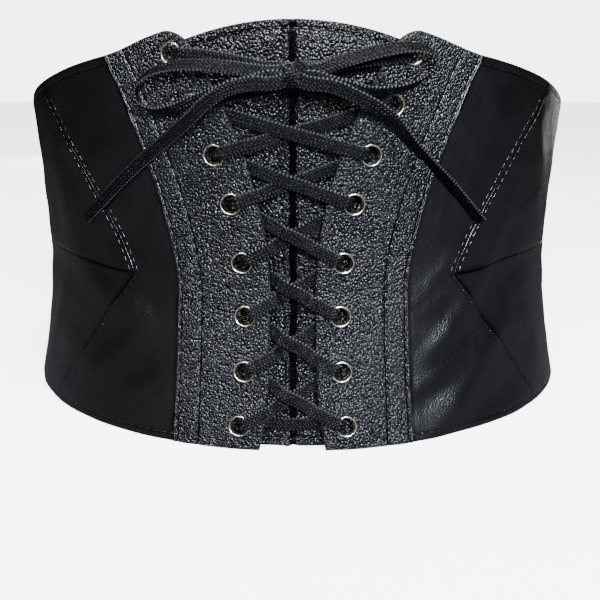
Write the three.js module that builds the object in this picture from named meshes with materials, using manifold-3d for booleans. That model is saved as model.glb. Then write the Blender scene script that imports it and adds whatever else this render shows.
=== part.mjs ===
// Corset belt: two eyeleted flaps laced over a modesty panel, on seamed side panels and a plain back.
// Millimetres, +Z up. The front faces -Y, and "left" is the -X side as the viewer sees it.
// The walls are drawn in belt coordinates: along (mm round the waist from the centre front),
// height (mm above the bottom rim) and standOff (mm out from the side panels' outer face).
import * as THREE from "three";
import { mergeVertices } from "three/addons/utils/BufferGeometryUtils.js";
import Module from "manifold-3d";

const wasm = await Module();
wasm.setup();

// The worn loop
const waistRadius = 115.5;     // outer face of the side panels at the waist
const depthShare = 0.98;       // front to back against side to side
const waistHeight = 60;        // where the loop is narrowest
const bottomFlare = 8.2;       // how much wider the bottom rim is, in radius
const topFlare = 6.4;          // how much wider the top of the front is, in radius
const flarePower = 1.45;
const frontHeight = 151.3;
const backHeight = 96;
const topFall = 1.333;         // how soon the top edge falls away from the front
const frontPeak = 4.5;         // the last rise of the top edge over the flaps
const peakEnd = 68;            // where that rise starts, along the belt
const peakRun = 31;

// Walls and the gap between neighbouring pieces
const sideWall = 2.0;
const flapWall = 2.2;
const modestyWall = 1.6;
const flapProud = 0.6;         // the flaps lie on the side panels' edge
const modestyRecess = 4.6;     // the modesty panel's face behind the side panels' face
const seamGap = 0.36;
const clearance = 0.3;

// Flaps
const lacingGap = 16.6;        // between the flaps at the waist
const topGap = 75;
const bottomGap = 23;
const flapWidth = 35.2;        // at the waist
const flapTopSpread = 29.2;    // how far the outer edge moves back at the top
const flapInnerCurve = 1.9;    // powers of the height that bend the flap's two edges
const flapOuterCurve = 1.535;
const flapFootCurve = 4;
const flapCorner = 7;          // rounding of the top inner corner
const stripWidth = 8;          // the strip between the two rows of stitches

// Side seams
const junctionReach = 20.7;    // from the flap's outer edge to the meeting point of the seams
const junctionHeight = 62;
const waistSeamRise = 2.5;     // the waist seam climbs this much towards the side
const waistSeamRun = 36;
const upperSeamRun = 49.6;     // how far back the upper diagonal ends
const upperSeamEnd = 132;      // height at which it meets the top edge
const upperSeamCurve = 1.24;
const lowerSeamRun = 51;
const sideSeam = 226;          // seam to the back panel, along the waist

// Modesty panel
const modestyHeight = 152.3;
const modestyCrown = 4.8;      // fall of its top edge over modestyHalf
const modestyHalf = 33;
const modestyLap = 1.2;        // its side edge stops this short of the flap's outer edge
const modestyBend = 9;         // width over which it comes up against the flap

// Eyelets
const eyeletOuter = 8.0;
const eyeletBore = 5.2;
const eyeletBarrel = 6.2;
const eyeletRim = 0.7;         // thickness of each rolled rim
const eyeletInset = 9.5;       // from the flap's inner edge
const eyeletSides = 12;

// Lace
const laceWidth = 4.4;
const laceThick = 1.0;
const laceInHole = 2.5;        // bunched up where it passes through an eyelet
const knotWide = 9.6;
const knotTall = 8.4;
const knotDeep = 7.8;

// Eyelet rows from the top: height as a share of frontHeight, inset as a share of eyeletInset
const eyeletRows = [
  { height: 0.933, inset: 0.86 },
  { height: 0.821, inset: 1.12 },
  { height: 0.709, inset: 1.07 },
  { height: 0.596, inset: 1.02 },
  { height: 0.456, inset: 1.01 },
  { height: 0.326, inset: 0.94 },
  { height: 0.191, inset: 0.94 },
  { height: 0.058, inset: 0.92 },
];

// Soft drag folds of the side leather: along as a share of sideSeam, height of frontHeight,
// reach of foldReach, width of foldWidth and rise of foldRise. Lean is in degrees from level.
const foldReach = 22;
const foldWidth = 7;
const foldRise = 1.5;
const folds = [
  { side: 1, along: 0.31, height: 0.35, lean: 48, reach: 1.0, width: 0.9, rise: 0.8 },
  { side: 1, along: 0.34, height: 0.26, lean: 42, reach: 1.1, width: 1.0, rise: -0.7 },
  { side: 1, along: 0.33, height: 0.17, lean: 35, reach: 1.2, width: 1.0, rise: 0.8 },
  { side: 1, along: 0.37, height: 0.06, lean: 30, reach: 1.2, width: 1.0, rise: -0.6 },
  { side: -1, along: 0.30, height: 0.48, lean: 60, reach: 0.9, width: 0.9, rise: -0.6 },
  { side: -1, along: 0.37, height: 0.36, lean: 35, reach: 1.0, width: 1.1, rise: 0.7 },
  { side: -1, along: 0.33, height: 0.16, lean: -35, reach: 1.2, width: 1.1, rise: 0.7 },
  { side: -1, along: 0.47, height: 0.62, lean: 75, reach: 1.6, width: 1.5, rise: 0.7 },
  { side: 1, along: 0.50, height: 0.66, lean: -75, reach: 1.6, width: 1.5, rise: 0.7 },
  { side: -1, along: 0.72, height: 0.40, lean: 85, reach: 1.5, width: 2.0, rise: -0.8 },
  { side: 1, along: 0.72, height: 0.40, lean: 95, reach: 1.5, width: 2.0, rise: -0.8 },
];

// The loose lace: along, height, standOff, roll from flat in degrees. Chosen by hand.
const looseLace = {
  lead_left: [
    [-37.0, 141.0, 2.5, 0], [-31, 140.6, 1.7, 0], [-24, 139.6, 1.4, 0],
    [-15.5, 138.0, 1.5, 0], [-8.2, 136.4, 1.6, 0],
  ],
  lead_right: [
    [37.0, 140.6, 2.5, 0], [31, 140.0, 1.7, 0], [24, 139.2, 1.4, 0],
    [15.5, 137.8, 1.5, 0], [8.2, 136.4, 1.6, 0],
  ],
  loop_left: [
    [-7.4, 134.9, 3.3, 5], [-14, 135.8, 3.5, 12], [-22, 136.8, 4.0, 25], [-31, 137.4, 4.6, 38],
    [-40, 136.6, 5.0, 50], [-47.5, 134.0, 4.6, 60], [-52, 129.8, 4.4, 66], [-51.6, 125.2, 4.4, 66],
    [-46.5, 122.4, 4.3, 58], [-39, 122.9, 4.4, 45], [-30, 126.0, 5.0, 25], [-20, 129.6, 5.0, 12],
    [-12, 132.0, 4.9, 5], [-6.9, 133.4, 4.8, 0],
  ],
  loop_right: [
    [7.4, 135.6, 3.3, -5], [14, 138.0, 3.6, -12], [22, 140.4, 4.0, -25], [30, 142.3, 4.6, -38],
    [37.5, 143.0, 5.3, -50], [43.2, 141.6, 5.6, -60], [45.6, 138.2, 5.2, -66], [43.4, 134.4, 5.0, -66],
    [38, 131.0, 5.0, -58], [31, 129.0, 5.0, -45], [24, 128.6, 5.0, -30], [17, 130.2, 4.9, -12],
    [11, 132.0, 4.9, -5], [6.9, 133.4, 4.8, 0],
  ],
  tail_left: [
    [-4.8, 131.6, 6.6, 0], [-12, 131.4, 7.0, 0], [-20, 129.4, 7.0, 0], [-27, 124.8, 6.6, 0],
    [-34, 118.8, 5.0, 0], [-42, 113.0, 3.0, 0], [-52, 106.2, 1.7, 0], [-62, 99.2, 1.0, 0],
    [-73, 91.2, 0.9, 0], [-80, 86.2, 0.9, 0], [-88, 80.6, 0.9, 0],
  ],
  tail_right: [
    [4.8, 131.6, 6.6, 0], [12, 130.6, 7.2, 6], [20, 127.0, 7.6, 15], [27, 123.4, 7.0, 30],
    [33.5, 118.6, 5.0, 45], [40, 111.8, 3.8, 60], [48, 104.4, 3.3, 66], [57, 96.4, 2.9, 66],
    [65, 89.0, 2.6, 66], [73, 81.6, 2.6, 66],
  ],
};

const lerp = THREE.MathUtils.lerp;
const clamp = THREE.MathUtils.clamp;

function smooth(t) {
  const c = clamp(t, 0, 1);
  return c * c * (3 - 2 * c);
}

// Raised or sunk part of the wall's surface at one place
function foldAt(along, height) {
  let rise = 0;
  for (const fold of folds) {
    const lean = THREE.MathUtils.degToRad(fold.lean);
    const a = fold.side * along - fold.along * sideSeam;
    const h = height - fold.height * frontHeight;
    const lengthwise = (a * Math.cos(lean) + h * Math.sin(lean)) / (fold.reach * foldReach);
    const crosswise = (h * Math.cos(lean) - a * Math.sin(lean)) / (fold.width * foldWidth);
    rise += fold.rise * foldRise * Math.exp(-lengthwise * lengthwise - crosswise * crosswise);
  }
  return rise;
}

// How far a height is above or below the waist, as a share of the way to the top or the bottom rim
function aboveWaist(height) {
  return Math.max(0, height - waistHeight) / (frontHeight - waistHeight);
}

function belowWaist(height) {
  return Math.max(0, waistHeight - height) / waistHeight;
}

// Radius of the side panels' outer face
function wallRadius(along, height) {
  const flare = bottomFlare * belowWaist(height) ** flarePower + topFlare * aboveWaist(height) ** flarePower;
  return waistRadius + flare + foldAt(along, height);
}

// A point in belt coordinates
function place(along, height, standOff) {
  const angle = along / waistRadius;
  const r = wallRadius(along, height) + standOff;
  return new THREE.Vector3(r * Math.sin(angle), -depthShare * r * Math.cos(angle), height);
}

// The wall's outward normal
function outward(along, height) {
  const step = 0.5;
  const round = place(along + step, height, 0).sub(place(along - step, height, 0));
  const up = place(along, height + step, 0).sub(place(along, height - step, 0));
  return round.cross(up).normalize();
}

// Edges and seams, all on the +X side; the -X side mirrors them
function flapInner(height) {
  const opening = (topGap - lacingGap) * aboveWaist(height) ** flapInnerCurve;
  return (lacingGap + opening + (bottomGap - lacingGap) * belowWaist(height) ** flapFootCurve) / 2;
}

function flapOuter(height) {
  return lacingGap / 2 + flapWidth + flapTopSpread * aboveWaist(height) ** flapOuterCurve;
}

const junctionAlong = flapOuter(junctionHeight) + junctionReach;

function diagonalSeam(height) {
  if (height >= junctionHeight) {
    const t = (height - junctionHeight) / (upperSeamEnd - junctionHeight);
    return junctionAlong + upperSeamRun * t ** upperSeamCurve;
  }
  return junctionAlong + (lowerSeamRun * (junctionHeight - height)) / junctionHeight;
}

function waistSeam(along) {
  return junctionHeight + waistSeamRise * smooth((along - junctionAlong) / waistSeamRun);
}

function topEdge(along) {
  const front = (1 + Math.cos(along / waistRadius)) / 2;
  const peak = frontPeak * smooth((peakEnd - Math.abs(along)) / peakRun);
  return backHeight + (frontHeight - frontPeak - backHeight) * front ** topFall + peak;
}

function modestyTop(along) {
  return modestyHeight - modestyCrown * (along / modestyHalf) ** 2;
}

// Rows of a wall: 0 at its lower edge, 1 at the waist seam and 2 at its top edge
const rowsBelow = [0, 0.25, 0.5, 0.75, 1];
const rowsAbove = [1, 1.16, 1.33, 1.5, 1.67, 1.84, 2];
const allRows = [...rowsBelow, ...rowsAbove.slice(1)];

// One leather wall between two seams. inner and outer give its faces as stand-offs.
function wall({ from, to, low = () => 0, middle = waistSeam, high = topEdge, rows, columns, outer, inner, side }) {
  const grid = rows.map((row) => columns.map((column) => {
    let height = (row / 2) * frontHeight;
    let along = 0;
    for (let i = 0; i < 12; i++) {
      const start = from(height);
      along = lerp(start, to(height), column);
      const reach = along - start;
      const mid = middle(along, reach);
      height = row <= 1 ? lerp(low(along, reach), mid, row) : lerp(mid, high(along, reach), row - 1);
    }
    return { along, height };
  }));
  const positions = [];
  for (const face of [outer, inner]) {
    for (const line of grid) {
      for (const { along, height } of line) {
        positions.push(...place(side * along, height, face(along, height)).toArray());
      }
    }
  }
  const across = columns.length;
  const count = rows.length * across;
  const faces = [];
  const quad = (a, b, c, d) => faces.push(...(side > 0 ? [a, b, c, a, c, d] : [a, c, b, a, d, c]));
  for (let r = 0; r < rows.length - 1; r++) {
    for (let c = 0; c < across - 1; c++) {
      const a = r * across + c;
      quad(a, a + 1, a + across + 1, a + across);
      quad(count + a, count + a + across, count + a + across + 1, count + a + 1);
    }
  }
  const rim = (a, b) => quad(b, a, count + a, count + b);
  for (let c = 0; c < across - 1; c++) {
    rim(c, c + 1);
    rim(count - across + c + 1, count - across + c);
  }
  for (let r = 0; r < rows.length - 1; r++) {
    rim((r + 1) * across, r * across);
    rim(r * across + across - 1, (r + 2) * across - 1);
  }
  const geometry = new THREE.BufferGeometry();
  geometry.setAttribute("position", new THREE.Float32BufferAttribute(positions, 3));
  geometry.setIndex(faces);
  return geometry;
}

function evenly(count) {
  return Array.from({ length: count + 1 }, (_, i) => i / count);
}

// Booleans
function toSolid(geometry) {
  const plain = geometry.clone();
  plain.deleteAttribute("normal");
  plain.deleteAttribute("uv");
  const merged = mergeVertices(plain, 1e-4);
  return new wasm.Manifold(new wasm.Mesh({
    numProp: 3,
    vertProperties: new Float32Array(merged.attributes.position.array),
    triVerts: new Uint32Array(merged.index.array),
  }));
}

function toGeometry(solid) {
  const mesh = solid.getMesh();
  const geometry = new THREE.BufferGeometry();
  geometry.setAttribute("position", new THREE.Float32BufferAttribute(mesh.vertProperties, 3));
  geometry.setIndex(Array.from(mesh.triVerts));
  return geometry;
}

// Materials
const flapLeather = new THREE.MeshStandardMaterial({ color: 0x2b2c31, roughness: 0.62 });
const sideLeather = new THREE.MeshStandardMaterial({ color: 0x191919, roughness: 0.38 });
const modestyLeather = new THREE.MeshStandardMaterial({ color: 0x26272b, roughness: 0.6 });
const brass = new THREE.MeshStandardMaterial({ color: 0xb9ac8c, roughness: 0.35, metalness: 1 });
const lace = new THREE.MeshStandardMaterial({ color: 0x1d1d1f, roughness: 0.8 });

const belt = new THREE.Group();

function add(name, geometry, material) {
  const mesh = new THREE.Mesh(geometry, material);
  mesh.name = name;
  belt.add(mesh);
  return mesh;
}

const sides = [{ label: "left", sign: -1 }, { label: "right", sign: 1 }];

// Eyelets stand square to the flap's face
function eyeletAt(sign, row) {
  const { height, inset } = eyeletRows[row];
  const z = height * frontHeight;
  return { along: sign * (flapInner(z) + inset * eyeletInset), height: z };
}

function squareTo(along, height, standOff) {
  const turn = new THREE.Quaternion().setFromUnitVectors(new THREE.Vector3(0, 1, 0), outward(along, height));
  return new THREE.Matrix4().compose(place(along, height, standOff), turn, new THREE.Vector3(1, 1, 1));
}

// Flaps: the top inner corner is round, and each eyelet has its hole
const holeRadius = eyeletBarrel / 2 + clearance;

function flapTop(along, reach) {
  const short = Math.max(0, flapCorner - reach);
  return topEdge(along) - (flapCorner - Math.sqrt(flapCorner ** 2 - short ** 2));
}

for (const { label, sign } of sides) {
  let flap = toSolid(wall({
    from: flapInner,
    to: (height) => flapOuter(height) - seamGap / 2,
    high: flapTop,
    rows: allRows,
    columns: [0, 0.02, 0.07, 0.13, 0.22, 0.4, 0.6, 0.8, 1],
    outer: () => flapProud,
    inner: () => flapProud - flapWall,
    side: sign,
  }));
  for (let row = 0; row < eyeletRows.length; row++) {
    const { along, height } = eyeletAt(sign, row);
    const drill = new THREE.CylinderGeometry(holeRadius, holeRadius, 4 * flapWall, eyeletSides);
    flap = flap.subtract(toSolid(drill.applyMatrix4(squareTo(along, height, 0))));
  }
  add(`flap_${label}`, toGeometry(flap), flapLeather);
}

// Side panels: a front piece between flap and diagonals, and two wedges behind the diagonals
const onSide = () => 0;
const underSide = () => -sideWall;
const slantGap = 0.75 * seamGap;

for (const { label, sign } of sides) {
  add(`side_front_${label}`, wall({
    from: (height) => flapOuter(height) + seamGap / 2,
    to: (height) => diagonalSeam(height) - slantGap,
    rows: allRows,
    columns: evenly(4),
    outer: onSide,
    inner: underSide,
    side: sign,
  }), sideLeather);
  add(`side_upper_${label}`, wall({
    from: (height) => diagonalSeam(height) + slantGap,
    to: () => sideSeam - seamGap / 2,
    middle: (along) => waistSeam(along) + seamGap / 2,
    rows: rowsAbove,
    columns: evenly(9),
    outer: onSide,
    inner: underSide,
    side: sign,
  }), sideLeather);
  add(`side_lower_${label}`, wall({
    from: (height) => diagonalSeam(height) + slantGap,
    to: () => sideSeam - seamGap / 2,
    middle: (along) => waistSeam(along) - seamGap / 2,
    rows: rowsBelow,
    columns: evenly(9),
    outer: onSide,
    inner: underSide,
    side: sign,
  }), sideLeather);
}

// Back panel, in one piece from side seam to side seam
const fullTurn = 2 * Math.PI * waistRadius;
add("back_panel", wall({
  from: () => sideSeam + seamGap / 2,
  to: () => fullTurn - sideSeam - seamGap / 2,
  rows: allRows,
  columns: evenly(14),
  outer: onSide,
  inner: underSide,
  side: 1,
}), sideLeather);

// Modesty panel: two halves meeting at the centre seam, seated under the flaps' outer strips
const seatedFace = flapProud - flapWall - clearance;

function modestyFace(along, height) {
  const fromEdge = flapOuter(height) - along;
  return lerp(seatedFace, -modestyRecess, smooth((fromEdge - stripWidth) / modestyBend));
}

for (const { label, sign } of sides) {
  add(`modesty_${label}`, wall({
    from: () => seamGap / 2,
    to: (height) => flapOuter(height) - modestyLap,
    high: modestyTop,
    rows: allRows,
    columns: [0, 0.2, 0.4, 0.52, 0.62, 0.7, 0.78, 0.86, 1],
    outer: modestyFace,
    inner: (along, height) => modestyFace(along, height) - modestyWall,
    side: sign,
  }), modestyLeather);
}

// Eyelets: a barrel with a rolled rim on each face of the flap
const rimClearance = 0.38;
const frontRim = rimClearance;
const backRim = -flapWall - rimClearance;
const eyeletProfile = [
  [eyeletBore / 2, backRim - eyeletRim],
  [eyeletOuter / 2 - 0.2, backRim - eyeletRim],
  [eyeletOuter / 2 - 0.2, backRim],
  [eyeletBarrel / 2, backRim],
  [eyeletBarrel / 2, frontRim],
  [eyeletOuter / 2, frontRim],
  [eyeletOuter / 2 - 0.35, frontRim + eyeletRim],
  [eyeletBore / 2 + 0.1, frontRim + eyeletRim],
  [eyeletBore / 2, backRim - eyeletRim],
].map(([radius, height]) => new THREE.Vector2(radius, height));

for (const { label, sign } of sides) {
  for (let row = 0; row < eyeletRows.length; row++) {
    const { along, height } = eyeletAt(sign, row);
    const eyelet = add(`eyelet_${label}_${row + 1}`, new THREE.LatheGeometry(eyeletProfile, eyeletSides), brass);
    squareTo(along, height, flapProud).decompose(eyelet.position, eyelet.quaternion, eyelet.scale);
  }
}

// A flat braided lace through stations {along, height, standOff, roll, width, upright}
const laceSection = [[0.5, 0], [0.38, 0.5], [-0.38, 0.5], [-0.5, 0], [-0.38, -0.5], [0.38, -0.5]];

function ribbon(stations) {
  const points = stations.map((s) => place(s.along, s.height, s.standOff));
  const positions = [];
  let before = null;
  stations.forEach((station, i) => {
    const next = points[Math.min(i + 1, points.length - 1)];
    const last = points[Math.max(i - 1, 0)];
    const tangent = next.clone().sub(last).normalize();
    const across = station.upright
      ? new THREE.Vector3(0, 0, 1)
      : outward(station.along, station.height).cross(tangent);
    across.addScaledVector(tangent, -across.dot(tangent)).normalize();
    if (before && across.dot(before) < 0) across.negate();
    before = across.clone();
    across.applyAxisAngle(tangent, THREE.MathUtils.degToRad(station.roll ?? 0));
    const up = tangent.clone().cross(across);
    const width = station.width ?? laceWidth;
    for (const [a, u] of laceSection) {
      const corner = points[i].clone().addScaledVector(across, a * width).addScaledVector(up, u * laceThick);
      positions.push(...corner.toArray());
    }
  });
  const n = laceSection.length;
  const faces = [];
  for (let k = 0; k < stations.length - 1; k++) {
    for (let i = 0; i < n; i++) {
      const a = k * n + i;
      const b = k * n + ((i + 1) % n);
      faces.push(a, b, b + n, a, b + n, a + n);
    }
  }
  const last = (stations.length - 1) * n;
  for (let i = 1; i < n - 1; i++) {
    faces.push(0, i + 1, i);
    faces.push(last, last + i, last + i + 1);
  }
  const geometry = new THREE.BufferGeometry();
  geometry.setAttribute("position", new THREE.Float32BufferAttribute(positions, 3));
  geometry.setIndex(faces);
  return geometry;
}

// Heights of the lace's middle over and under the flap, from the stack of pieces there
const halfLace = laceThick / 2;
const overFlap = flapProud + clearance + halfLace;
const overRim = flapProud + frontRim + eyeletRim + clearance + halfLace;
const underRim = flapProud + backRim - eyeletRim - 1.5 * clearance - halfLace;
const underFlap = flapProud - flapWall - clearance - halfLace;
const onModesty = -modestyRecess + clearance + 0.05 + halfLace;
const crossingStep = laceThick + 0.45;
const crossingReach = laceWidth + 0.2;

const inHoleShift = 0.5;       // it leans on the side of the hole nearest the front's centre
const behindReach = eyeletOuter / 2 + 1.2; // from an eyelet's middle to where it lies flat behind
const frontReach = eyeletOuter / 2 + 1;    // and to where it lies flat in front
const intoHole = eyeletBore / 2 - 0.9;     // where it turns in behind
const outOfHole = eyeletBore / 2 - 0.6;    // where it comes out in front
const frontDip = 0.2;                      // how far it has come down again past the rim
const atRimWidth = laceWidth * 0.9;

// The passage up through one eyelet, coming from and leaving towards two points in plan
function passage(sign, row, comesFrom, goesTo) {
  const eye = eyeletAt(sign, row);
  const towards = (target, distance, standOff, width) => {
    const run = Math.hypot(target.along - eye.along, target.height - eye.height);
    return {
      along: eye.along + ((target.along - eye.along) / run) * distance,
      height: eye.height + ((target.height - eye.height) / run) * distance,
      standOff,
      width,
    };
  };
  const inside = { along: eye.along - sign * inHoleShift, height: eye.height, width: laceInHole, upright: true };
  return [
    towards(comesFrom, behindReach, underRim, atRimWidth),
    towards(comesFrom, intoHole, underRim, laceInHole),
    { ...inside, standOff: flapProud - flapWall },
    { ...inside, standOff: flapProud },
    towards(goesTo, outOfHole, overRim, laceInHole),
    towards(goesTo, frontReach, overRim - frontDip, atRimWidth),
  ];
}

const overEdgeIn = 0.9;        // how far inside a flap's edge the lace starts to bend over it
const edgeOut = laceWidth / 2; // how far outside the edge the bend ends
const underEdgeOut = 1.5;
const overEdgeRise = 0.15;
const pastEdgeDrop = 0.1;

// One strand rising from an eyelet over its flap's edge, across, and under the other flap
function strand(sign, row, isOver) {
  const start = eyeletAt(sign, row);
  const end = eyeletAt(-sign, row - 1);
  const at = (t) => ({ along: lerp(start.along, end.along, t), height: lerp(start.height, end.height, t) });
  const reach = Math.abs(start.along) + Math.abs(end.along);
  // The place at a distance from the centre, counted positive on the starting side
  const atDistance = (distance) => at((Math.abs(start.along) - distance) / reach);
  const atFlapEdge = (offset, startSide) => {
    let spot = at(0.5);
    for (let i = 0; i < 8; i++) {
      spot = atDistance((flapInner(spot.height) + offset) * startSide);
    }
    return spot;
  };
  const halfSpan = flapInner(at(0.5).height);
  const sag = (halfSpan * halfSpan) / (2 * waistRadius);
  const middle = Math.max((overFlap + underFlap) / 2 - sag, onModesty + crossingStep / 2);
  const crossing = middle + (isOver ? 0.5 : -0.5) * crossingStep;
  return [
    { ...atFlapEdge(overEdgeIn, 1), standOff: overFlap + overEdgeRise },
    { ...atFlapEdge(-edgeOut, 1), standOff: overFlap - pastEdgeDrop },
    { ...atDistance(crossingReach), standOff: crossing },
    { ...atDistance(-crossingReach), standOff: crossing },
    { ...atFlapEdge(-underEdgeOut, -1), standOff: underFlap - pastEdgeDrop },
    { ...atFlapEdge(edgeOut, -1), standOff: underFlap - pastEdgeDrop },
  ];
}

// The held lacing: down one way from the top left eyelet, behind the bottom pair, and up again
function crossingPoint(sign, row) {
  const a = eyeletAt(sign, row);
  const b = eyeletAt(-sign, row - 1);
  const t = Math.abs(a.along) / (Math.abs(a.along) + Math.abs(b.along));
  return { along: 0, height: lerp(a.height, b.height, t) };
}

const bottomRow = eyeletRows.length - 1;
const topDrop = 4;             // the lace leaves the top eyelets a little downwards

function climb(startSign, isOver) {
  const path = [];
  let sign = startSign;
  for (let row = bottomRow; row >= 0; row--) {
    const across = eyeletAt(-sign, row);
    const comesFrom = row === bottomRow ? across : crossingPoint(-sign, row + 1);
    const goesTo = row === 0 ? { along: 0, height: eyeletAt(sign, 0).height - topDrop } : crossingPoint(sign, row);
    path.push(...passage(sign, row, comesFrom, goesTo));
    if (row > 0) path.push(...strand(sign, row, isOver(row)));
    sign = -sign;
  }
  path.pop();
  return path;
}

// Rows whose strand from the right runs on top, counted from the top row as 0
const rightOnTop = (row) => row % 2 === 1;
const fromRight = climb(1, rightOnTop);
const fromLeft = climb(-1, (row) => !rightOnTop(row));
const behind = { along: 0, height: eyeletAt(1, bottomRow).height, standOff: onModesty };
add("lacing", ribbon([...fromRight.slice().reverse(), behind, ...fromLeft]), lace);

// Bow: leads from the top eyelets, loops and tails round the knot
for (const [name, points] of Object.entries(looseLace)) {
  add(name, ribbon(points.map(([along, height, standOff, roll]) => ({ along, height, standOff, roll }))), lace);
}

const knotCentre = { along: 0, height: 134, standOff: 2.9 };
const knot = new THREE.SphereGeometry(0.5, 12, 8);
knot.rotateX(Math.PI / 2);
knot.scale(knotWide, knotDeep, knotTall);
add("bow_knot", knot, lace).position.copy(place(knotCentre.along, knotCentre.height, knotCentre.standOff));

export default belt;
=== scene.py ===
# %% [markdown]
# # A laced corset belt
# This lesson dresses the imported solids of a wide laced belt: matt pebbled flaps with brass eyelets,
# glossier side panels with crossing seams, a panel behind the lacing, and a flat plaited lace tied
# in a bow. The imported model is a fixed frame, so every piece is made where its solid stands.

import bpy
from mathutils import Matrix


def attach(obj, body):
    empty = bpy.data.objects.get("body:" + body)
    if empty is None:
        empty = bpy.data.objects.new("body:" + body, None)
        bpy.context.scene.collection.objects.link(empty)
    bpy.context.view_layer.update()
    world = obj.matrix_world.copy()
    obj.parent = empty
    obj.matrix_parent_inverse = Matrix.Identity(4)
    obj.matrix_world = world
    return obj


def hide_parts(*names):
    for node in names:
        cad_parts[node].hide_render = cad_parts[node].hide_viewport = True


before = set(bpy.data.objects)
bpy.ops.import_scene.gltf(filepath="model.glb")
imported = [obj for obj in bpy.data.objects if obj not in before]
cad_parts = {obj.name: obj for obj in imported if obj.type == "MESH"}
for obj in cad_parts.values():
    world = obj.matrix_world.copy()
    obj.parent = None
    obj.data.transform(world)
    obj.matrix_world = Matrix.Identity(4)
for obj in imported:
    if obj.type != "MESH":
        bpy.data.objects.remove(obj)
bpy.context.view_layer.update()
print("packed nodes:", len(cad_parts))

# %% [markdown]
# ## Belt coordinates
# A belt is a strip bent round a waist, so its seams are easiest to draw on the flat strip.
# A place has three numbers in millimetres: along (round the waist from the centre front, to the
# viewer's right), height (above the bottom rim) and stand-off (out from the side panels' face).
# One could also model flat and bend with a modifier, but a formula keeps each piece on the frame.

# %% The loop that the belt makes
import math
import random

import bmesh
import bpy
import numpy as np
from mathutils import Vector

MM = 0.001  # millimetres to metres

waist_radius = 115.5
depth_share = 0.98
waist_height = 60.0
bottom_flare = 8.2
top_flare = 6.4
flare_power = 1.45
front_height = 151.3
back_height = 96.0
top_fall = 1.333
front_peak = 4.5
peak_end = 68.0
peak_run = 31.0
side_seam = 226.0

fold_reach = 22.0
fold_width = 7.0
fold_rise = 1.5

# Soft folds of the whole wall: side, along and height as shares, lean in degrees, reach, width, rise
folds = [
    (1, 0.31, 0.35, 48, 1.0, 0.9, 0.8),
    (1, 0.34, 0.26, 42, 1.1, 1.0, -0.7),
    (1, 0.33, 0.17, 35, 1.2, 1.0, 0.8),
    (1, 0.37, 0.06, 30, 1.2, 1.0, -0.6),
    (-1, 0.30, 0.48, 60, 0.9, 0.9, -0.6),
    (-1, 0.37, 0.36, 35, 1.0, 1.1, 0.7),
    (-1, 0.33, 0.16, -35, 1.2, 1.1, 0.7),
    (-1, 0.47, 0.62, 75, 1.6, 1.5, 0.7),
    (1, 0.50, 0.66, -75, 1.6, 1.5, 0.7),
    (-1, 0.72, 0.40, 85, 1.5, 2.0, -0.8),
    (1, 0.72, 0.40, 95, 1.5, 2.0, -0.8),
]


def smooth(t):
    c = np.clip(t, 0.0, 1.0)
    return c * c * (3 - 2 * c)


def fold(along, height, centre, lean, reach, width):
    """1 on the middle of a long soft fold, fading to 0 around it."""
    a = along - centre[0]
    h = height - centre[1]
    turn = math.radians(lean)
    lengthwise = (a * math.cos(turn) + h * math.sin(turn)) / reach
    crosswise = (h * math.cos(turn) - a * math.sin(turn)) / width
    return np.exp(-lengthwise * lengthwise - crosswise * crosswise)


def above_waist(height):
    return np.maximum(0, height - waist_height) / (front_height - waist_height)


def below_waist(height):
    return np.maximum(0, waist_height - height) / waist_height


def wall_radius(along, height):
    radius = waist_radius + bottom_flare * below_waist(height) ** flare_power
    radius = radius + top_flare * above_waist(height) ** flare_power
    for side, at, level, lean, reach, width, rise in folds:
        centre = (at * side_seam, level * front_height)
        size = (lean, reach * fold_reach, width * fold_width)
        radius = radius + rise * fold_rise * fold(side * along, height, centre, *size)
    return radius


def place(along, height, stand_off):
    """Belt coordinates in millimetres to points of the row frame in metres."""
    along, height, stand_off = np.broadcast_arrays(along, height, stand_off)
    angle = along / waist_radius
    r = wall_radius(along, height) + stand_off
    return np.stack([r * np.sin(angle), -depth_share * r * np.cos(angle), height], -1) * MM


def outward(along, height):
    """The wall's unit normal."""
    step = 0.5
    round_it = place(along + step, height, 0.0) - place(along - step, height, 0.0)
    up_it = place(along, height + step, 0.0) - place(along, height - step, 0.0)
    normal = np.cross(round_it, up_it)
    return normal / np.linalg.norm(normal, axis=-1, keepdims=True)


girth = 2 * math.pi * waist_radius
print("loop round the waist in mm:", round(girth))

# %% [markdown]
# ## The camera
# The photograph was taken from close by, 41 cm from the belt's middle and a little below its top,
# looking down by 14 degrees. A short distance makes the bottom rim curve more than the top one, so
# the distance matters as much as the angle. Depth of field stays off.

# %% Camera
camera_place = (6.5, -410.9, 131.3)  # mm
camera_down = 14.27  # degrees below level
camera_turn = 0.74  # degrees to the left of straight ahead
camera_lens = 51.0

camera_data = bpy.data.cameras.new("photo_camera")
camera_data.lens = camera_lens
camera = bpy.data.objects.new("photo_camera", camera_data)
camera.location = Vector(camera_place) * MM
camera.rotation_euler = (math.radians(90 - camera_down), 0.0, math.radians(camera_turn))
bpy.context.scene.collection.objects.link(camera)
bpy.context.scene.camera = camera
print("camera at", tuple(round(x, 3) for x in camera.location))

# %% [markdown]
# ## Edges and seams
# Every panel lies between two curves that run up the belt and two that run round it. The curves
# are functions of height or of along, so that neighbouring panels share one seam exactly. A curve
# that runs round the belt is also given the reach, the distance from its panel's start, which only
# the flap's rounded corner needs.

# %% Seam curves, drawn for the right side and mirrored for the left
lacing_gap = 16.6
top_gap = 75.0
bottom_gap = 23.0
flap_width = 35.2
flap_top_spread = 29.2
junction_reach = 20.7
junction_height = 62.0
waist_seam_rise = 2.5
waist_seam_run = 36.0
upper_seam_run = 49.6
upper_seam_end = 132.0
lower_seam_run = 51.0
flap_corner = 7.0
modesty_height = 152.3
modesty_crown = 4.8
modesty_half = 33.0


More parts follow.
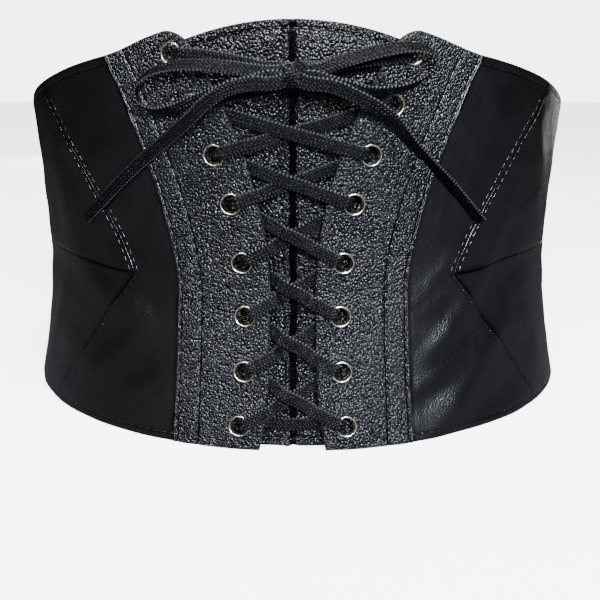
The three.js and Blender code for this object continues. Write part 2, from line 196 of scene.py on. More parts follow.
def flap_inner(height):
    opening = (top_gap - lacing_gap) * above_waist(height) ** 1.9
    return (lacing_gap + opening + (bottom_gap - lacing_gap) * below_waist(height) ** 4) / 2


def flap_outer(height):
    return lacing_gap / 2 + flap_width + flap_top_spread * above_waist(height) ** 1.535


junction_along = float(flap_outer(junction_height)) + junction_reach


def diagonal_seam(height):
    upper = np.maximum(0, height - junction_height) / (upper_seam_end - junction_height)
    lower = np.maximum(0, junction_height - height) / junction_height
    return junction_along + upper_seam_run * upper**1.24 + lower_seam_run * lower


def waist_seam(along, reach=0):
    return junction_height + waist_seam_rise * smooth((along - junction_along) / waist_seam_run)


def top_edge(along, reach=0):
    front = (1 + np.cos(along / waist_radius)) / 2
    peak = front_peak * smooth((peak_end - np.abs(along)) / peak_run)
    return back_height + (front_height - front_peak - back_height) * front**top_fall + peak


def flap_top(along, reach):
    short = np.maximum(0, flap_corner - reach)
    return top_edge(along) - (flap_corner - np.sqrt(np.maximum(0, flap_corner**2 - short**2)))


def modesty_top(along, reach=0):
    return modesty_height - modesty_crown * (along / modesty_half) ** 2


def bottom_edge(along, reach=0):
    return 0.0 * along


print("seams of the sides meet at", round(junction_along, 1), "mm along")

# %% [markdown]
# ## Eyelet places
# Eight eyelets stand in a row near each flap's inner edge. The rows are shares of the front's
# height, because the holes are punched at even steps on the flat leather and then spread a little.

# %% Eyelet rows from the top: height as a share, inset as a share of the mean inset
eyelet_inset = 9.5
eyelet_rows = [
    (0.933, 0.86), (0.821, 1.12), (0.709, 1.07), (0.596, 1.02),
    (0.456, 1.01), (0.326, 0.94), (0.191, 0.94), (0.058, 0.92),
]
sides = {"left": -1, "right": 1}


def eyelet_at(sign, row):
    share, inset = eyelet_rows[row]
    height = share * front_height
    return sign * (float(flap_inner(height)) + inset * eyelet_inset), height


print("top left eyelet at", [round(x, 1) for x in eyelet_at(-1, 0)])

# %% [markdown]
# ## The plaited lace: a ribbon along a path
# The lace is a flat braid, 5 mm wide and 1.05 mm thick. A curve with a bevel would be quick, but
# it twists where it likes. Here each path point keeps the direction that lies across the lace, so
# the braid lies flat on the leather and turns on edge only where the photograph shows it.
# The plait itself is real relief: two families of strands cross at 45 degrees, each over the other
# in turn, and the strands' ends make small beads along both edges.

# %% Strands of the plait
lace_width = 5.0
lace_thick = 1.05
strand_pitch = 0.95  # mm between neighbouring strands, across them
strand_relief = 0.2
ribbon_step = 0.34
ribbon_samples = 15  # across one face
strand_flatness = 0.35  # how flat a strand's hump is along the strand
edge_squareness = 5
face_spread = 1.5
side_sharpness = 6


def plait(u, v):
    """Height of the plait from 0 to 1, u along and v across the lace in millimetres."""
    a = (u + v) / (strand_pitch * math.sqrt(2))
    b = (u - v) / (strand_pitch * math.sqrt(2))
    over = (np.floor(a) + np.floor(b)) % 2
    hump_a = np.abs(np.sin(math.pi * a))
    hump_b = np.abs(np.sin(math.pi * b))
    one_way = hump_b * hump_a**strand_flatness
    return np.where(over > 0.5, one_way, hump_a * hump_b**strand_flatness)


def unit(vectors):
    return vectors / np.maximum(np.linalg.norm(vectors, axis=-1, keepdims=True), 1e-12)


def hermite(times, values, wanted):
    """A smooth curve through the values, one row for each time."""
    gaps = np.diff(times)
    slopes = np.diff(values, axis=0) / gaps[:, None]
    tangents = np.empty_like(values)
    tangents[0] = slopes[0]
    tangents[-1] = slopes[-1]
    before, after = gaps[:-1, None], gaps[1:, None]
    tangents[1:-1] = (slopes[:-1] * after + slopes[1:] * before) / (before + after)
    k = np.clip(np.searchsorted(times, wanted, side="right") - 1, 0, len(gaps) - 1)
    gap = gaps[k]
    t = ((wanted - times[k]) / gap)[:, None]
    gap = gap[:, None]
    return (
        (1 + 2 * t) * (1 - t) ** 2 * values[k]
        + t * (1 - t) ** 2 * gap * tangents[k]
        + t * t * (3 - 2 * t) * values[k + 1]
        + t * t * (t - 1) * gap * tangents[k + 1]
    )


def add_mesh(name, points, faces, *materials):
    mesh = bpy.data.meshes.new(name)
    mesh.from_pydata(points.tolist(), [], faces)
    for material in materials:
        mesh.materials.append(material)
    mesh.shade_smooth()
    piece = bpy.data.objects.new(name, mesh)
    bpy.context.scene.collection.objects.link(piece)
    return piece


def ribbon(centres, across, widths, thick=lace_thick, closed=False):
    """Points, faces and plait places of a braid along centre points in metres."""
    steps = np.diff(centres, axis=0)
    if closed:
        ahead = np.roll(centres, -1, axis=0) - np.roll(centres, 1, axis=0)
    else:
        ahead = np.gradient(centres, axis=0)
    ahead = unit(ahead)
    across = unit(across - np.sum(across * ahead, -1, keepdims=True) * ahead)
    up = np.cross(ahead, across)
    u = np.concatenate([[0], np.cumsum(np.linalg.norm(steps, axis=1))]) / MM
    v = np.linspace(-1, 1, ribbon_samples)
    crown = np.sqrt(np.maximum(0, 1 - np.abs(v) ** edge_squareness))
    ring_v = np.concatenate([v, v[-2:0:-1]])
    ring_y = np.concatenate([crown, -crown[-2:0:-1]])
    place_v = ring_v[None, :] * widths[:, None] / 2
    relief = (plait(u[:, None], place_v) - 0.5) * strand_relief
    facing = np.sign(ring_y) * np.minimum(1, np.abs(ring_y) * face_spread)
    sideways = ring_v * np.abs(ring_v) ** side_sharpness
    x = place_v + relief * sideways[None, :]
    y = ring_y[None, :] * thick / 2 + relief * facing[None, :]
    points = centres[:, None] + (x[..., None] * across[:, None] + y[..., None] * up[:, None]) * MM
    n, m = x.shape
    r, c = np.meshgrid(np.arange(n if closed else n - 1), np.arange(m), indexing="ij")
    a = r * m + c
    b = r * m + (c + 1) % m
    d = ((r + 1) % n) * m
    faces = np.stack([a, b, d + (c + 1) % m, d + c], -1).reshape(-1, 4).tolist()
    if not closed:
        faces.append(list(range(m))[::-1])
        faces.append([(n - 1) * m + i for i in range(m)])
    spots = np.stack([np.broadcast_to(u[:, None], x.shape), place_v, 0 * x], -1)
    return points.reshape(-1, 3), faces, spots.reshape(-1, 3)


def lace_frames(stations):
    """Centres and across directions at the stations: along, height, stand-off, roll, upright."""
    along, height, stand_off, roll, upright = (np.array(x, float) for x in zip(*stations))
    centres = place(along, height, stand_off)
    ahead = np.empty_like(centres)
    ahead[1:-1] = centres[2:] - centres[:-2]
    ahead[0], ahead[-1] = centres[1] - centres[0], centres[-1] - centres[-2]
    ahead = unit(ahead)
    across = np.cross(outward(along, height), ahead)
    across[upright > 0.5] = (0.0, 0.0, 1.0)
    across = unit(across - np.sum(across * ahead, -1, keepdims=True) * ahead)
    for i in range(1, len(across)):
        if across[i] @ across[i - 1] < 0:
            across[i] = -across[i]
    turn = np.radians(roll)[:, None]
    across = across * np.cos(turn) + np.cross(ahead, across) * np.sin(turn)
    return centres, across


def smooth_ribbon(stations, widths):
    """A fine ribbon through the stations, and its centre line."""
    centres, across = lace_frames(stations)
    times = np.concatenate([[0], np.cumsum(np.linalg.norm(np.diff(centres, axis=0), axis=1))])
    wanted = np.linspace(0, times[-1], int(times[-1] / (ribbon_step * MM)) + 1)
    line = hermite(times, centres, wanted)
    sideways = np.stack([np.interp(wanted, times, across[:, k]) for k in range(3)], -1)
    return line, sideways, np.interp(wanted, times, widths)


def add_lace(name, parts, material):
    """One mesh of several ribbons, with the plait's coordinates kept as a point attribute."""
    points, faces, spots = [], [], []
    count = 0
    for part_points, part_faces, part_spots in parts:
        points.append(part_points)
        spots.append(part_spots)
        faces.extend([[i + count for i in face] for face in part_faces])
        count += len(part_points)
    piece = add_mesh(name, np.concatenate(points), faces, material)
    lay = piece.data.attributes.new("plait_place", "FLOAT_VECTOR", "POINT")
    lay.data.foreach_set("vector", np.concatenate(spots).astype(np.float32).ravel())
    print(name, "triangles:", sum(len(f.vertices) - 2 for f in piece.data.polygons))
    return piece


def path_length(line):
    return float(np.sum(np.linalg.norm(np.diff(line, axis=0), axis=1)))


# %% [markdown]
# ## Shader groups
# Three effects are node groups with named inputs: the pebbled grain of the leather, the pale wear
# along its folded edges, and the fine plait of the lace. Each puts out values only, and the
# Principled shader stays in the material. The leather's patterns read Object coordinates in metres,
# and the plait reads the lace's own attribute, so neither moves when a piece is exported.

# %% Helpers that wire nodes
def wire(tree, value, socket):
    if isinstance(value, bpy.types.NodeSocket):
        tree.links.new(value, socket)
    elif value is not None:
        socket.default_value = value


def add_math(tree, operation, *values, clamp=False):
    node = tree.nodes.new("ShaderNodeMath")
    node.operation = operation
    node.use_clamp = clamp
    for value, socket in zip(values, node.inputs):
        wire(tree, value, socket)
    return node.outputs[0]


def maths_of(tree):
    """add_math for one tree."""
    return lambda operation, *values, clamp=False: add_math(tree, operation, *values, clamp=clamp)


def add_vector(tree, operation, *values):
    node = tree.nodes.new("ShaderNodeVectorMath")
    node.operation = operation
    for value, socket in zip(values, node.inputs):
        wire(tree, value, socket)
    return node.outputs["Value" if operation == "DOT_PRODUCT" else "Vector"]


def add_range(tree, value, low, high, to_low=0.0, to_high=1.0):
    node = tree.nodes.new("ShaderNodeMapRange")
    node.interpolation_type = "SMOOTHSTEP"
    for given, label in zip((value, low, high, to_low, to_high),
                            ("Value", "From Min", "From Max", "To Min", "To Max")):
        wire(tree, given, node.inputs[label])
    return node.outputs["Result"]


def add_noise(tree, vector, scale, detail=2.0, roughness=0.5):
    node = tree.nodes.new("ShaderNodeTexNoise")
    wire(tree, vector, node.inputs["Vector"])
    wire(tree, scale, node.inputs["Scale"])
    node.inputs["Detail"].default_value = detail
    node.inputs["Roughness"].default_value = roughness
    return node


def new_group(name, inputs, outputs):
    tree = bpy.data.node_groups.new(name, "ShaderNodeTree")
    for label, kind, value in inputs:
        socket = tree.interface.new_socket(label, in_out="INPUT", socket_type=kind)
        if value is not None:
            socket.default_value = value
    for label in outputs:
        tree.interface.new_socket(label, in_out="OUTPUT", socket_type="NodeSocketFloat")
    return tree, tree.nodes.new("NodeGroupInput").outputs, tree.nodes.new("NodeGroupOutput").inputs


FLOAT = "NodeSocketFloat"
VECTOR = "NodeSocketVector"

# %% Pebbled grain: domed pebbles with creases between them, over a fine tooth
crease_edge = (0.02, 0.2)  # where a pebble rises out of its crease, in shares of its size
dome_rise = 2.6
tilt_rise = 0.6
tooth_rise = 0.12
noise_rates = {"stray": 0.45, "tooth": 3.0, "patch": 0.05}  # waves a pebble

grain_group, given, wanted = new_group(
    "pebbled_grain",
    [("Vector", VECTOR, None), ("Pebble Size", FLOAT, 0.001), ("Stray", FLOAT, 0.4)],
    ["Height", "Crease", "Patch"],
)
work = maths_of(grain_group)
pebble_rate = work("DIVIDE", 1.0, given["Pebble Size"])
noises = {
    label: add_noise(grain_group, given["Vector"], work("MULTIPLY", pebble_rate, rate)).outputs
    for label, rate in noise_rates.items()
}
stray_size = work("MULTIPLY", given["Pebble Size"], given["Stray"])
stray_vector = grain_group.nodes.new("ShaderNodeCombineXYZ")
for axis in "XYZ":
    grain_group.links.new(stray_size, stray_vector.inputs[axis])
stray = add_vector(
    grain_group, "MULTIPLY_ADD", noises["stray"]["Color"], stray_vector.outputs[0], given["Vector"]
)
cells = {}
for feature in ("DISTANCE_TO_EDGE", "F1"):
    node = grain_group.nodes.new("ShaderNodeTexVoronoi")
    node.feature = feature
    grain_group.links.new(stray, node.inputs["Vector"])
    grain_group.links.new(pebble_rate, node.inputs["Scale"])
    cells[feature] = node.outputs
pebble = add_range(grain_group, cells["DISTANCE_TO_EDGE"]["Distance"], *crease_edge)
dome = work("SUBTRACT", 1.0, work("POWER", cells["F1"]["Distance"], 2.0))
from_middle = add_vector(grain_group, "SUBTRACT", stray, cells["F1"]["Position"])
lean = add_vector(grain_group, "SUBTRACT", cells["F1"]["Color"], (0.5, 0.5, 0.5))
tilt = work("MULTIPLY", add_vector(grain_group, "DOT_PRODUCT", from_middle, lean), pebble_rate)
relief = work("MULTIPLY_ADD", dome, dome_rise, pebble)
relief = work("MULTIPLY_ADD", work("MULTIPLY", tilt, pebble), tilt_rise, relief)
relief = work("MULTIPLY_ADD", noises["tooth"]["Fac"], tooth_rise, relief)
wire(grain_group, relief, wanted["Height"])
wire(grain_group, work("SUBTRACT", 1.0, pebble), wanted["Crease"])
wire(grain_group, noises["patch"]["Fac"], wanted["Patch"])

# %% Worn edges: the wall's own rim attribute, broken up by noise
wear_group, given, wanted = new_group(
    "worn_edges",
    [("Vector", VECTOR, None), ("Rim", FLOAT, 0.0), ("Amount", FLOAT, 0.5)],
    ["Wear"],
)
work = maths_of(wear_group)
rub = add_noise(wear_group, given["Vector"], 240.0, 4.0, 0.6)
rubbed = work("MULTIPLY", add_range(wear_group, rub.outputs["Fac"], 0.35, 0.7), given["Rim"])
wire(wear_group, work("MULTIPLY", rubbed, given["Amount"], clamp=True), wanted["Wear"])

# %% Plaited strands, finer than the mesh: the same plait as the relief, and the fibres in it
fibre_rate = 34.0
fibre_rise = 0.07

plait_group, given, wanted = new_group(
    "plaited_strands",
    [("Vector", VECTOR, None), ("Strand Pitch", FLOAT, strand_pitch)],
    ["Height", "Valley", "Filament"],
)
work = maths_of(plait_group)
split = plait_group.nodes.new("ShaderNodeSeparateXYZ")
plait_group.links.new(given["Vector"], split.inputs[0])
u, v = split.outputs[:2]
spread = work("MULTIPLY", given["Strand Pitch"], math.sqrt(2))
strands = [work("DIVIDE", work(way, u, v), spread) for way in ("ADD", "SUBTRACT")]
crossings = work("ADD", *[work("FLOOR", strand) for strand in strands])
is_over = work("FLOORED_MODULO", crossings, 2.0)
humps = [work("ABSOLUTE", work("SINE", work("MULTIPLY", strand, math.pi))) for strand in strands]
flat_humps = [work("POWER", hump, strand_flatness) for hump in humps]
one_way = work("MULTIPLY", humps[1], flat_humps[0])
other_way = work("MULTIPLY", humps[0], flat_humps[1])
plait_height = work("MULTIPLY_ADD", work("SUBTRACT", one_way, other_way), is_over, other_way)
fibres_a, fibres_b = [work("SINE", work("MULTIPLY", strand, fibre_rate)) for strand in strands]
fibres = work("MULTIPLY_ADD", work("SUBTRACT", fibres_b, fibres_a), is_over, fibres_a)
wire(plait_group, work("MULTIPLY_ADD", fibres, fibre_rise, plait_height), wanted["Height"])
# Valley: the low ground between the strands, where the lace is painted darker as shade and made rougher
wire(plait_group, add_range(plait_group, plait_height, 0.1, 0.75, 1.0, 0.0), wanted["Valley"])
wire(plait_group, work("MULTIPLY_ADD", fibres, 0.5, 0.5), wanted["Filament"])
print("shader groups:", [g.name for g in bpy.data.node_groups])

# %% [markdown]
# ## Finishes
# The leather is coated cloth: a thin plastic skin, pressed with a pebble grain, nearly black, with
# a soft sheen on the flaps and a smoother gloss on the sides. What the eye reads is the relief,
# so roughness and bump matter more than colour. Brass, lace and thread have their own finishes.

# %% Material helpers
def new_material(name):
    material = bpy.data.materials.new(name)
    material.use_nodes = True
    tree = material.node_tree
    surface = tree.nodes["Principled BSDF"]
    where = tree.nodes.new("ShaderNodeTexCoord").outputs["Object"]
    return material, tree, surface, where


def add_group(tree, group, **values):
    node = tree.nodes.new("ShaderNodeGroup")
    node.node_tree = group
    for label, value in values.items():
        wire(tree, value, node.inputs[label.replace("_", " ")])
    return node.outputs


def mix_colour(tree, share, one, other):
    node = tree.nodes.new("ShaderNodeMix")
    node.data_type = "RGBA"
    wire(tree, share, node.inputs["Factor"])
    for value, label in ((one, "A"), (other, "B")):
        socket = next(s for s in node.inputs if s.name == label and s.type == "RGBA")
        wire(tree, value, socket)
    return next(s for s in node.outputs if s.type == "RGBA")


def add_bump(tree, surface, height, distance, strength=1.0):
    node = tree.nodes.new("ShaderNodeBump")
    node.inputs["Distance"].default_value = distance
    node.inputs["Strength"].default_value = strength
    wire(tree, height, node.inputs["Height"])
    tree.links.new(node.outputs["Normal"], surface.inputs["Normal"])


def read_attribute(tree, name):
    node = tree.nodes.new("ShaderNodeAttribute")
    node.attribute_name = name
    return node.outputs


# %% Leathers: a finish's colour and painted crease shade, roughness of pebble and crease, pebble size and relief in metres
leather_specular = 0.55
pale_patch = 1.35  # how much lighter the rubbed patches are
patch_rough = 0.06
groove_gloss = 0.13  # a pressed row is smoother, so it mirrors the dark room
groove_flat = 0.95
wear_colour = (0.03, 0.03, 0.033, 1)
# painted shade: the black that the pressed rows and seams (the groove attribute) are darkened to
black = (0, 0, 0, 1)


def make_leather(name, colour, crease_shade, smooth_rough, grain_rough, pebble, relief, wear):
    material, tree, surface, where = new_material(name)
    work = maths_of(tree)
    grain = add_group(tree, grain_group, Vector=where, Pebble_Size=pebble)
    rim = read_attribute(tree, "rim")["Fac"]
    groove = read_attribute(tree, "groove")["Fac"]
    worn = add_group(tree, wear_group, Vector=where, Rim=rim, Amount=wear)["Wear"]
    patches = add_range(tree, grain["Patch"], 0.3, 0.7)
    pale = tuple(pale_patch * x for x in colour[:3]) + (1.0,)
    tone = mix_colour(tree, patches, colour, pale)
    # painted shade: the creases between the pebbles take the darker crease shade colour
    tone = mix_colour(tree, grain["Crease"], tone, crease_shade)
    tone = mix_colour(tree, worn, tone, wear_colour)
    # painted shade in the pressed rows and seams
    tone = mix_colour(tree, groove, tone, black)
    wire(tree, tone, surface.inputs["Base Color"])
    rough = work("MULTIPLY_ADD", grain["Crease"], grain_rough - smooth_rough, smooth_rough)
    rough = work("MULTIPLY_ADD", patches, patch_rough, rough)
    rough = work("MULTIPLY_ADD", groove, -groove_gloss, rough, clamp=True)
    wire(tree, rough, surface.inputs["Roughness"])
    flat = work("SUBTRACT", 1.0, work("MULTIPLY", groove, groove_flat))
    add_bump(tree, surface, work("MULTIPLY", grain["Height"], flat), relief)
    surface.inputs["Specular IOR Level"].default_value = leather_specular
    return material


# painted shade: the darker colour that each leather gives to its grain's creases
painted_crease_shade = (0.0001, 0.0001, 0.0002, 1)
flap_leather = make_leather(
    "flap_leather", (0.0006, 0.0007, 0.0014, 1), painted_crease_shade, 0.26, 0.3, 0.00094, 0.00021, 0.15
)
modesty_leather = make_leather(
    "modesty_leather", (0.0006, 0.0006, 0.0009, 1), painted_crease_shade, 0.25, 0.28, 0.00104, 0.00024, 0.15
)
side_leather = make_leather(
    "side_leather", (0.0012, 0.0012, 0.0013, 1), (0.0006, 0.0006, 0.0007, 1),
    0.26, 0.3, 0.0009, 0.00002, 0.05
)


# %% Back of the leather: a knitted backing cloth, seen only inside the belt
def make_backing():
    material, tree, surface, where = new_material("leather_back")
    knit = tree.nodes.new("ShaderNodeTexVoronoi")
    knit.inputs["Scale"].default_value = 1500.0
    tree.links.new(where, knit.inputs["Vector"])
    fuzz = add_noise(tree, where, 380.0, 4.0, 0.6)
    share = add_range(tree, fuzz.outputs["Fac"], 0.3, 0.7)
    tone = mix_colour(tree, share, (0.018, 0.018, 0.019, 1), (0.036, 0.036, 0.038, 1))
    wire(tree, tone, surface.inputs["Base Color"])
    surface.inputs["Roughness"].default_value = 0.92
    surface.inputs["Sheen Weight"].default_value = 0.25
    add_bump(tree, surface, knit.outputs["Distance"], 0.00012)
    return material


leather_back = make_backing()


# %% Lace, thread and brass
# painted highlight: pale glints along both edges of the lace, spaced as below
edge_glint_step = 1.35  # mm between the strands' turns along the lace's edge


def make_lace():
    material, tree, surface, where = new_material("lace_cord")
    spots = read_attribute(tree, "plait_place")["Vector"]
    strands = add_group(tree, plait_group, Vector=spots)
    tone = mix_colour(tree, strands["Filament"], (0.0012, 0.0012, 0.0015, 1), (0.004, 0.004, 0.0048, 1))
    # painted shade: the valleys between the strands are darkened
    tone = mix_colour(tree, strands["Valley"], tone, (0.0003, 0.0003, 0.0003, 1))
    split = tree.nodes.new("ShaderNodeSeparateXYZ")
    tree.links.new(spots, split.inputs[0])
    # painted highlight: a pale, smoother glint at each turn of the strands along both edges
    edge = add_range(tree, add_math(tree, "ABSOLUTE", split.outputs[1]), 1.75, 2.2)
    turns = add_math(tree, "SINE", add_math(tree, "MULTIPLY", split.outputs[0], 2 * math.pi / edge_glint_step))
    painted_edge_glint = add_math(tree, "MULTIPLY", edge, add_range(tree, turns, 0.0, 0.8))
    tone = mix_colour(tree, painted_edge_glint, tone, (0.05, 0.05, 0.055, 1))
    wire(tree, tone, surface.inputs["Base Color"])
    rough = add_math(tree, "MULTIPLY_ADD", strands["Valley"], 0.1, 0.22)
    rough = add_math(tree, "MULTIPLY_ADD", painted_edge_glint, -0.13, rough)
    wire(tree, rough, surface.inputs["Roughness"])
    surface.inputs["Specular IOR Level"].default_value = 0.12
    add_bump(tree, surface, strands["Height"], 0.00032)
    return material


def make_thread():
    material, tree, surface, where = new_material("stitch_thread")
    twist = add_noise(tree, where, 2600.0, 2.0, 0.6)
    tone = mix_colour(tree, twist.outputs["Fac"], (0.002, 0.002, 0.0025, 1), (0.01, 0.01, 0.012, 1))
    wire(tree, tone, surface.inputs["Base Color"])
    surface.inputs["Roughness"].default_value = 0.2
    add_bump(tree, surface, twist.outputs["Fac"], 0.0001)
    return material


def make_brass():
    material, tree, surface, where = new_material("eyelet_brass")
    dull = add_noise(tree, where, 700.0, 4.0, 0.65)
    stain = add_range(tree, dull.outputs["Fac"], 0.42, 0.68)
    tone = mix_colour(tree, stain, (0.66, 0.61, 0.48, 1), (0.22, 0.19, 0.12, 1))
    wire(tree, tone, surface.inputs["Base Color"])
    wire(tree, add_math(tree, "MULTIPLY_ADD", stain, 0.22, 0.2), surface.inputs["Roughness"])
    surface.inputs["Metallic"].default_value = 1.0
    add_bump(tree, surface, dull.outputs["Fac"], 0.00003)
    return material


lace_cord = make_lace()
stitch_thread = make_thread()
eyelet_brass = make_brass()
print("finishes:", [m.name for m in bpy.data.materials])

# %% [markdown]
# ## The bow's two free ends
# The lace leaves the top eyelets, meets in a bow knot, makes two loops and ends in two tails.
# A free cord has its real length, so each half is one ribbon from its eyelet through the knot, round
# its loop and down its tail. The points are listed in belt coordinates, as the packed
# solids have them; a simulation would move the loops away from where they lie in the photograph.

# %% Routes of the loose lace: along, height, stand-off in mm, roll in degrees
lead_left = [
    (-37.0, 141.0, 2.5, 0), (-31, 140.6, 1.7, 0), (-24, 139.6, 1.4, 0), (-15.5, 138.0, 1.5, 0),
    (-8.2, 136.4, 1.6, 0),
]
lead_right = [
    (37.0, 140.6, 2.5, 0), (31, 140.0, 1.7, 0), (24, 139.2, 1.4, 0), (15.5, 137.8, 1.5, 0),
    (8.2, 136.4, 1.6, 0),
]
loop_left = [
    (-7.4, 134.9, 3.3, 5), (-14, 135.8, 3.5, 12), (-22, 136.8, 4.0, 25), (-31, 137.4, 4.6, 38),
    (-40, 136.6, 5.0, 50), (-47.5, 134.0, 4.6, 60), (-52, 129.8, 4.4, 66), (-51.6, 125.2, 4.4, 66),
    (-46.5, 122.4, 4.3, 58), (-39, 122.9, 4.4, 45), (-30, 126.0, 5.0, 25), (-20, 129.6, 5.0, 12),
    (-12, 132.0, 4.9, 5), (-6.9, 133.4, 4.8, 0),
]
loop_right = [
    (7.4, 135.6, 3.3, -5), (14, 138.0, 3.6, -12), (22, 140.4, 4.0, -25), (30, 142.3, 4.6, -38),
    (37.5, 143.0, 5.3, -50), (43.2, 141.6, 5.6, -60), (45.6, 138.2, 5.2, -66), (43.4, 134.4, 5.0, -66),
    (38, 131.0, 5.0, -58), (31, 129.0, 5.0, -45), (24, 128.6, 5.0, -30), (17, 130.2, 4.9, -12),
    (11, 132.0, 4.9, -5), (6.9, 133.4, 4.8, 0),
]
tail_left = [
    (-4.8, 131.6, 6.6, 0), (-12, 131.4, 7.0, 0), (-20, 129.4, 7.0, 0), (-27, 124.8, 6.6, 0),
    (-34, 118.8, 5.0, 0), (-42, 113.0, 3.0, 0), (-52, 106.2, 1.7, 0), (-62, 99.2, 1.0, 0),
    (-73, 91.2, 0.9, 0), (-80, 86.2, 0.9, 0), (-88, 80.6, 0.9, 0),
]
tail_right = [
    (4.8, 131.6, 6.6, 0), (12, 130.6, 7.2, 6), (20, 127.0, 7.6, 15), (27, 123.4, 7.0, 30),
    (33.5, 118.6, 5.0, 45), (40, 111.8, 3.8, 60), (48, 104.4, 3.3, 66), (57, 96.4, 2.9, 66),
    (65, 89.0, 2.6, 66), (73, 81.6, 2.6, 66),
]
knot_along, knot_height, knot_stand_off = 0.0, 134.0, 2.9
flap_proud = 0.6

# %% One ribbon for each half of the bow
def through_knot(sign, level, stand_off):
    """The short hidden turn inside the knot, between two stretches that end at its side."""
    return [(sign * 2.0, level + 0.3, stand_off - 0.3, 0), (sign * 0.6, level, stand_off, 0),
            (sign * 2.0, level - 0.3, stand_off + 0.3, 0)]


def bow_half(sign, lead, loop, tail):
    eye_along, eye_height = eyelet_at(sign, 0)
    inside = [(eye_along - sign * 0.5, eye_height, flap_proud - 1.4, 0, 1),
              (eye_along - sign * 0.6, eye_height, flap_proud + 0.4, 0, 1)]
    route = lead + through_knot(sign, 135.8, 2.4) + loop + through_knot(sign, 132.8, 5.6) + tail
    stations = inside + [(a, h, s, roll, 0) for a, h, s, roll in route]
    widths = [4.0, 4.2] + [lace_width] * len(route)
    widths[2] = 4.7
    return smooth_ribbon(stations, widths)


bow_routes = {
    "left": bow_half(-1, lead_left, loop_left, tail_left),
    "right": bow_half(1, lead_right, loop_right, tail_right),
}
bow_pieces = {}
for label, (line, across, widths) in bow_routes.items():
    bow_pieces[label] = add_lace(f"bow_lace_{label}", [ribbon(line, across, widths)], lace_cord)
    print(label, "half of the bow, length in mm:", round(path_length(line) / MM))

# %% [markdown]
# ## The knot
# A bow knot is a turn of lace wound round the other strands. A ball would read as a bead, so the
# knot is three closed turns of the same braid: one leans up to the right, and two lie across it.

# %% Knot of three turns
def knot_turn(tilt, tall, deep, width, shift=(0.0, 0.0)):
    """A closed turn round the middle of the knot, tilted in degrees from upright."""
    centre = place(knot_along + shift[0], knot_height + shift[1], knot_stand_off)
    front = outward(np.array(0.0), np.array(knot_height))
    lean = math.radians(tilt)
    up = np.array([math.sin(lean), 0.0, math.cos(lean)])
    up = unit(up - (up @ front) * front)
    turns = np.linspace(0, 2 * math.pi, 96, endpoint=False)[:, None]
    loop = centre + (np.cos(turns) * up * tall / 2 + np.sin(turns) * front * deep / 2) * MM
    across = np.broadcast_to(np.cross(up, front), loop.shape)
    return ribbon(loop, across, np.full(len(loop), width), closed=True)


knot_parts = [
    knot_turn(36, 9.4, 8.4, 4.6, (0.3, 0.1)),
    knot_turn(-62, 8.6, 6.4, 4.6, (-0.2, -0.4)),
    knot_turn(-85, 8.0, 5.2, 5.4),
]
bow_knot = add_lace("bow_knot_wound", knot_parts, lace_cord)

# %% [markdown]
# ## The criss-cross lacing
# The lace is one strand on each side: up through an eyelet, over its flap's edge, across the
# gap, under the other flap's edge and up through the next eyelet. The two strands take turns on top.
# It is worked out from the eyelets' places, so it passes through every hole.

# %% Route of the lacing
flap_wall = 2.2
side_wall = 2.0
modesty_wall = 1.6
modesty_recess = 4.6
over_flap = 1.4
over_rim = 2.35
under_rim = -3.6
under_flap = -2.4
on_modesty = -3.6
crossing_step = 1.5
crossing_reach = 4.8


def station(along, height, stand_off, width=lace_width, upright=0):
    return (along, height, stand_off, 0.0, upright, width)


def towards(eye, target, distance):
    run = math.hypot(target[0] - eye[0], target[1] - eye[1])
    return (
        eye[0] + (target[0] - eye[0]) / run * distance,
        eye[1] + (target[1] - eye[1]) / run * distance,
    )


# Short lengths of the lacing's passage through a hole and over a flap's edge
behind_reach, behind_width = 5.2, 4.4
into_hole, hole_width = 1.7, 3.6
hole_lean = 0.55
at_rim_width = 4.0
out_of_hole, out_width = 2.0, 4.5
front_reach, front_dip = 5.0, 0.35
over_edge_in, past_edge, edge_rise = 0.9, 2.2, 0.1
under_edge_out = 1.5


def passage(sign, row, comes_from, goes_to):
    """Up through one eyelet, leaning on the side of the hole nearest the centre."""
    eye = eyelet_at(sign, row)
    inside = (eye[0] - sign * hole_lean, eye[1])
    return [
        station(*towards(eye, comes_from, behind_reach), under_rim, behind_width),
        station(*towards(eye, comes_from, into_hole), under_rim, hole_width),
        station(*inside, flap_proud - flap_wall, hole_width, 1),
        station(*inside, flap_proud, at_rim_width, 1),
        station(*towards(eye, goes_to, out_of_hole), over_rim, out_width),
        station(*towards(eye, goes_to, front_reach), over_rim - front_dip),
    ]


def strand(sign, row, is_over):
    """From one eyelet over its flap's edge, across, and under the other flap."""
    start = eyelet_at(sign, row)
    end = eyelet_at(-sign, row - 1)
    reach = abs(start[0]) + abs(end[0])

    def at(t):
        return start[0] + (end[0] - start[0]) * t, start[1] + (end[1] - start[1]) * t

    def at_distance(distance):
        return at((abs(start[0]) - distance) / reach)

    def at_flap_edge(offset, start_side):
        spot = at(0.5)
        for _ in range(8):
            spot = at_distance((float(flap_inner(spot[1])) + offset) * start_side)
        return spot

    half_span = float(flap_inner(at(0.5)[1]))
    sag = half_span * half_span / (2 * waist_radius)
    middle = max((over_flap + under_flap) / 2 - sag, on_modesty + crossing_step / 2)
    crossing = middle + (0.5 if is_over else -0.5) * crossing_step
    return [
        station(*at_flap_edge(over_edge_in, 1), over_flap + edge_rise),
        station(*at_flap_edge(-past_edge, 1), over_flap - edge_rise),
        station(*at_distance(crossing_reach), crossing),
        station(*at_distance(-crossing_reach), crossing),
        station(*at_flap_edge(-under_edge_out, -1), under_flap - edge_rise),
        station(*at_flap_edge(past_edge, -1), under_flap - edge_rise),
    ]


def crossing_point(sign, row):
    a = eyelet_at(sign, row)
    b = eyelet_at(-sign, row - 1)
    t = abs(a[0]) / (abs(a[0]) + abs(b[0]))
    return 0.0, a[1] + (b[1] - a[1]) * t


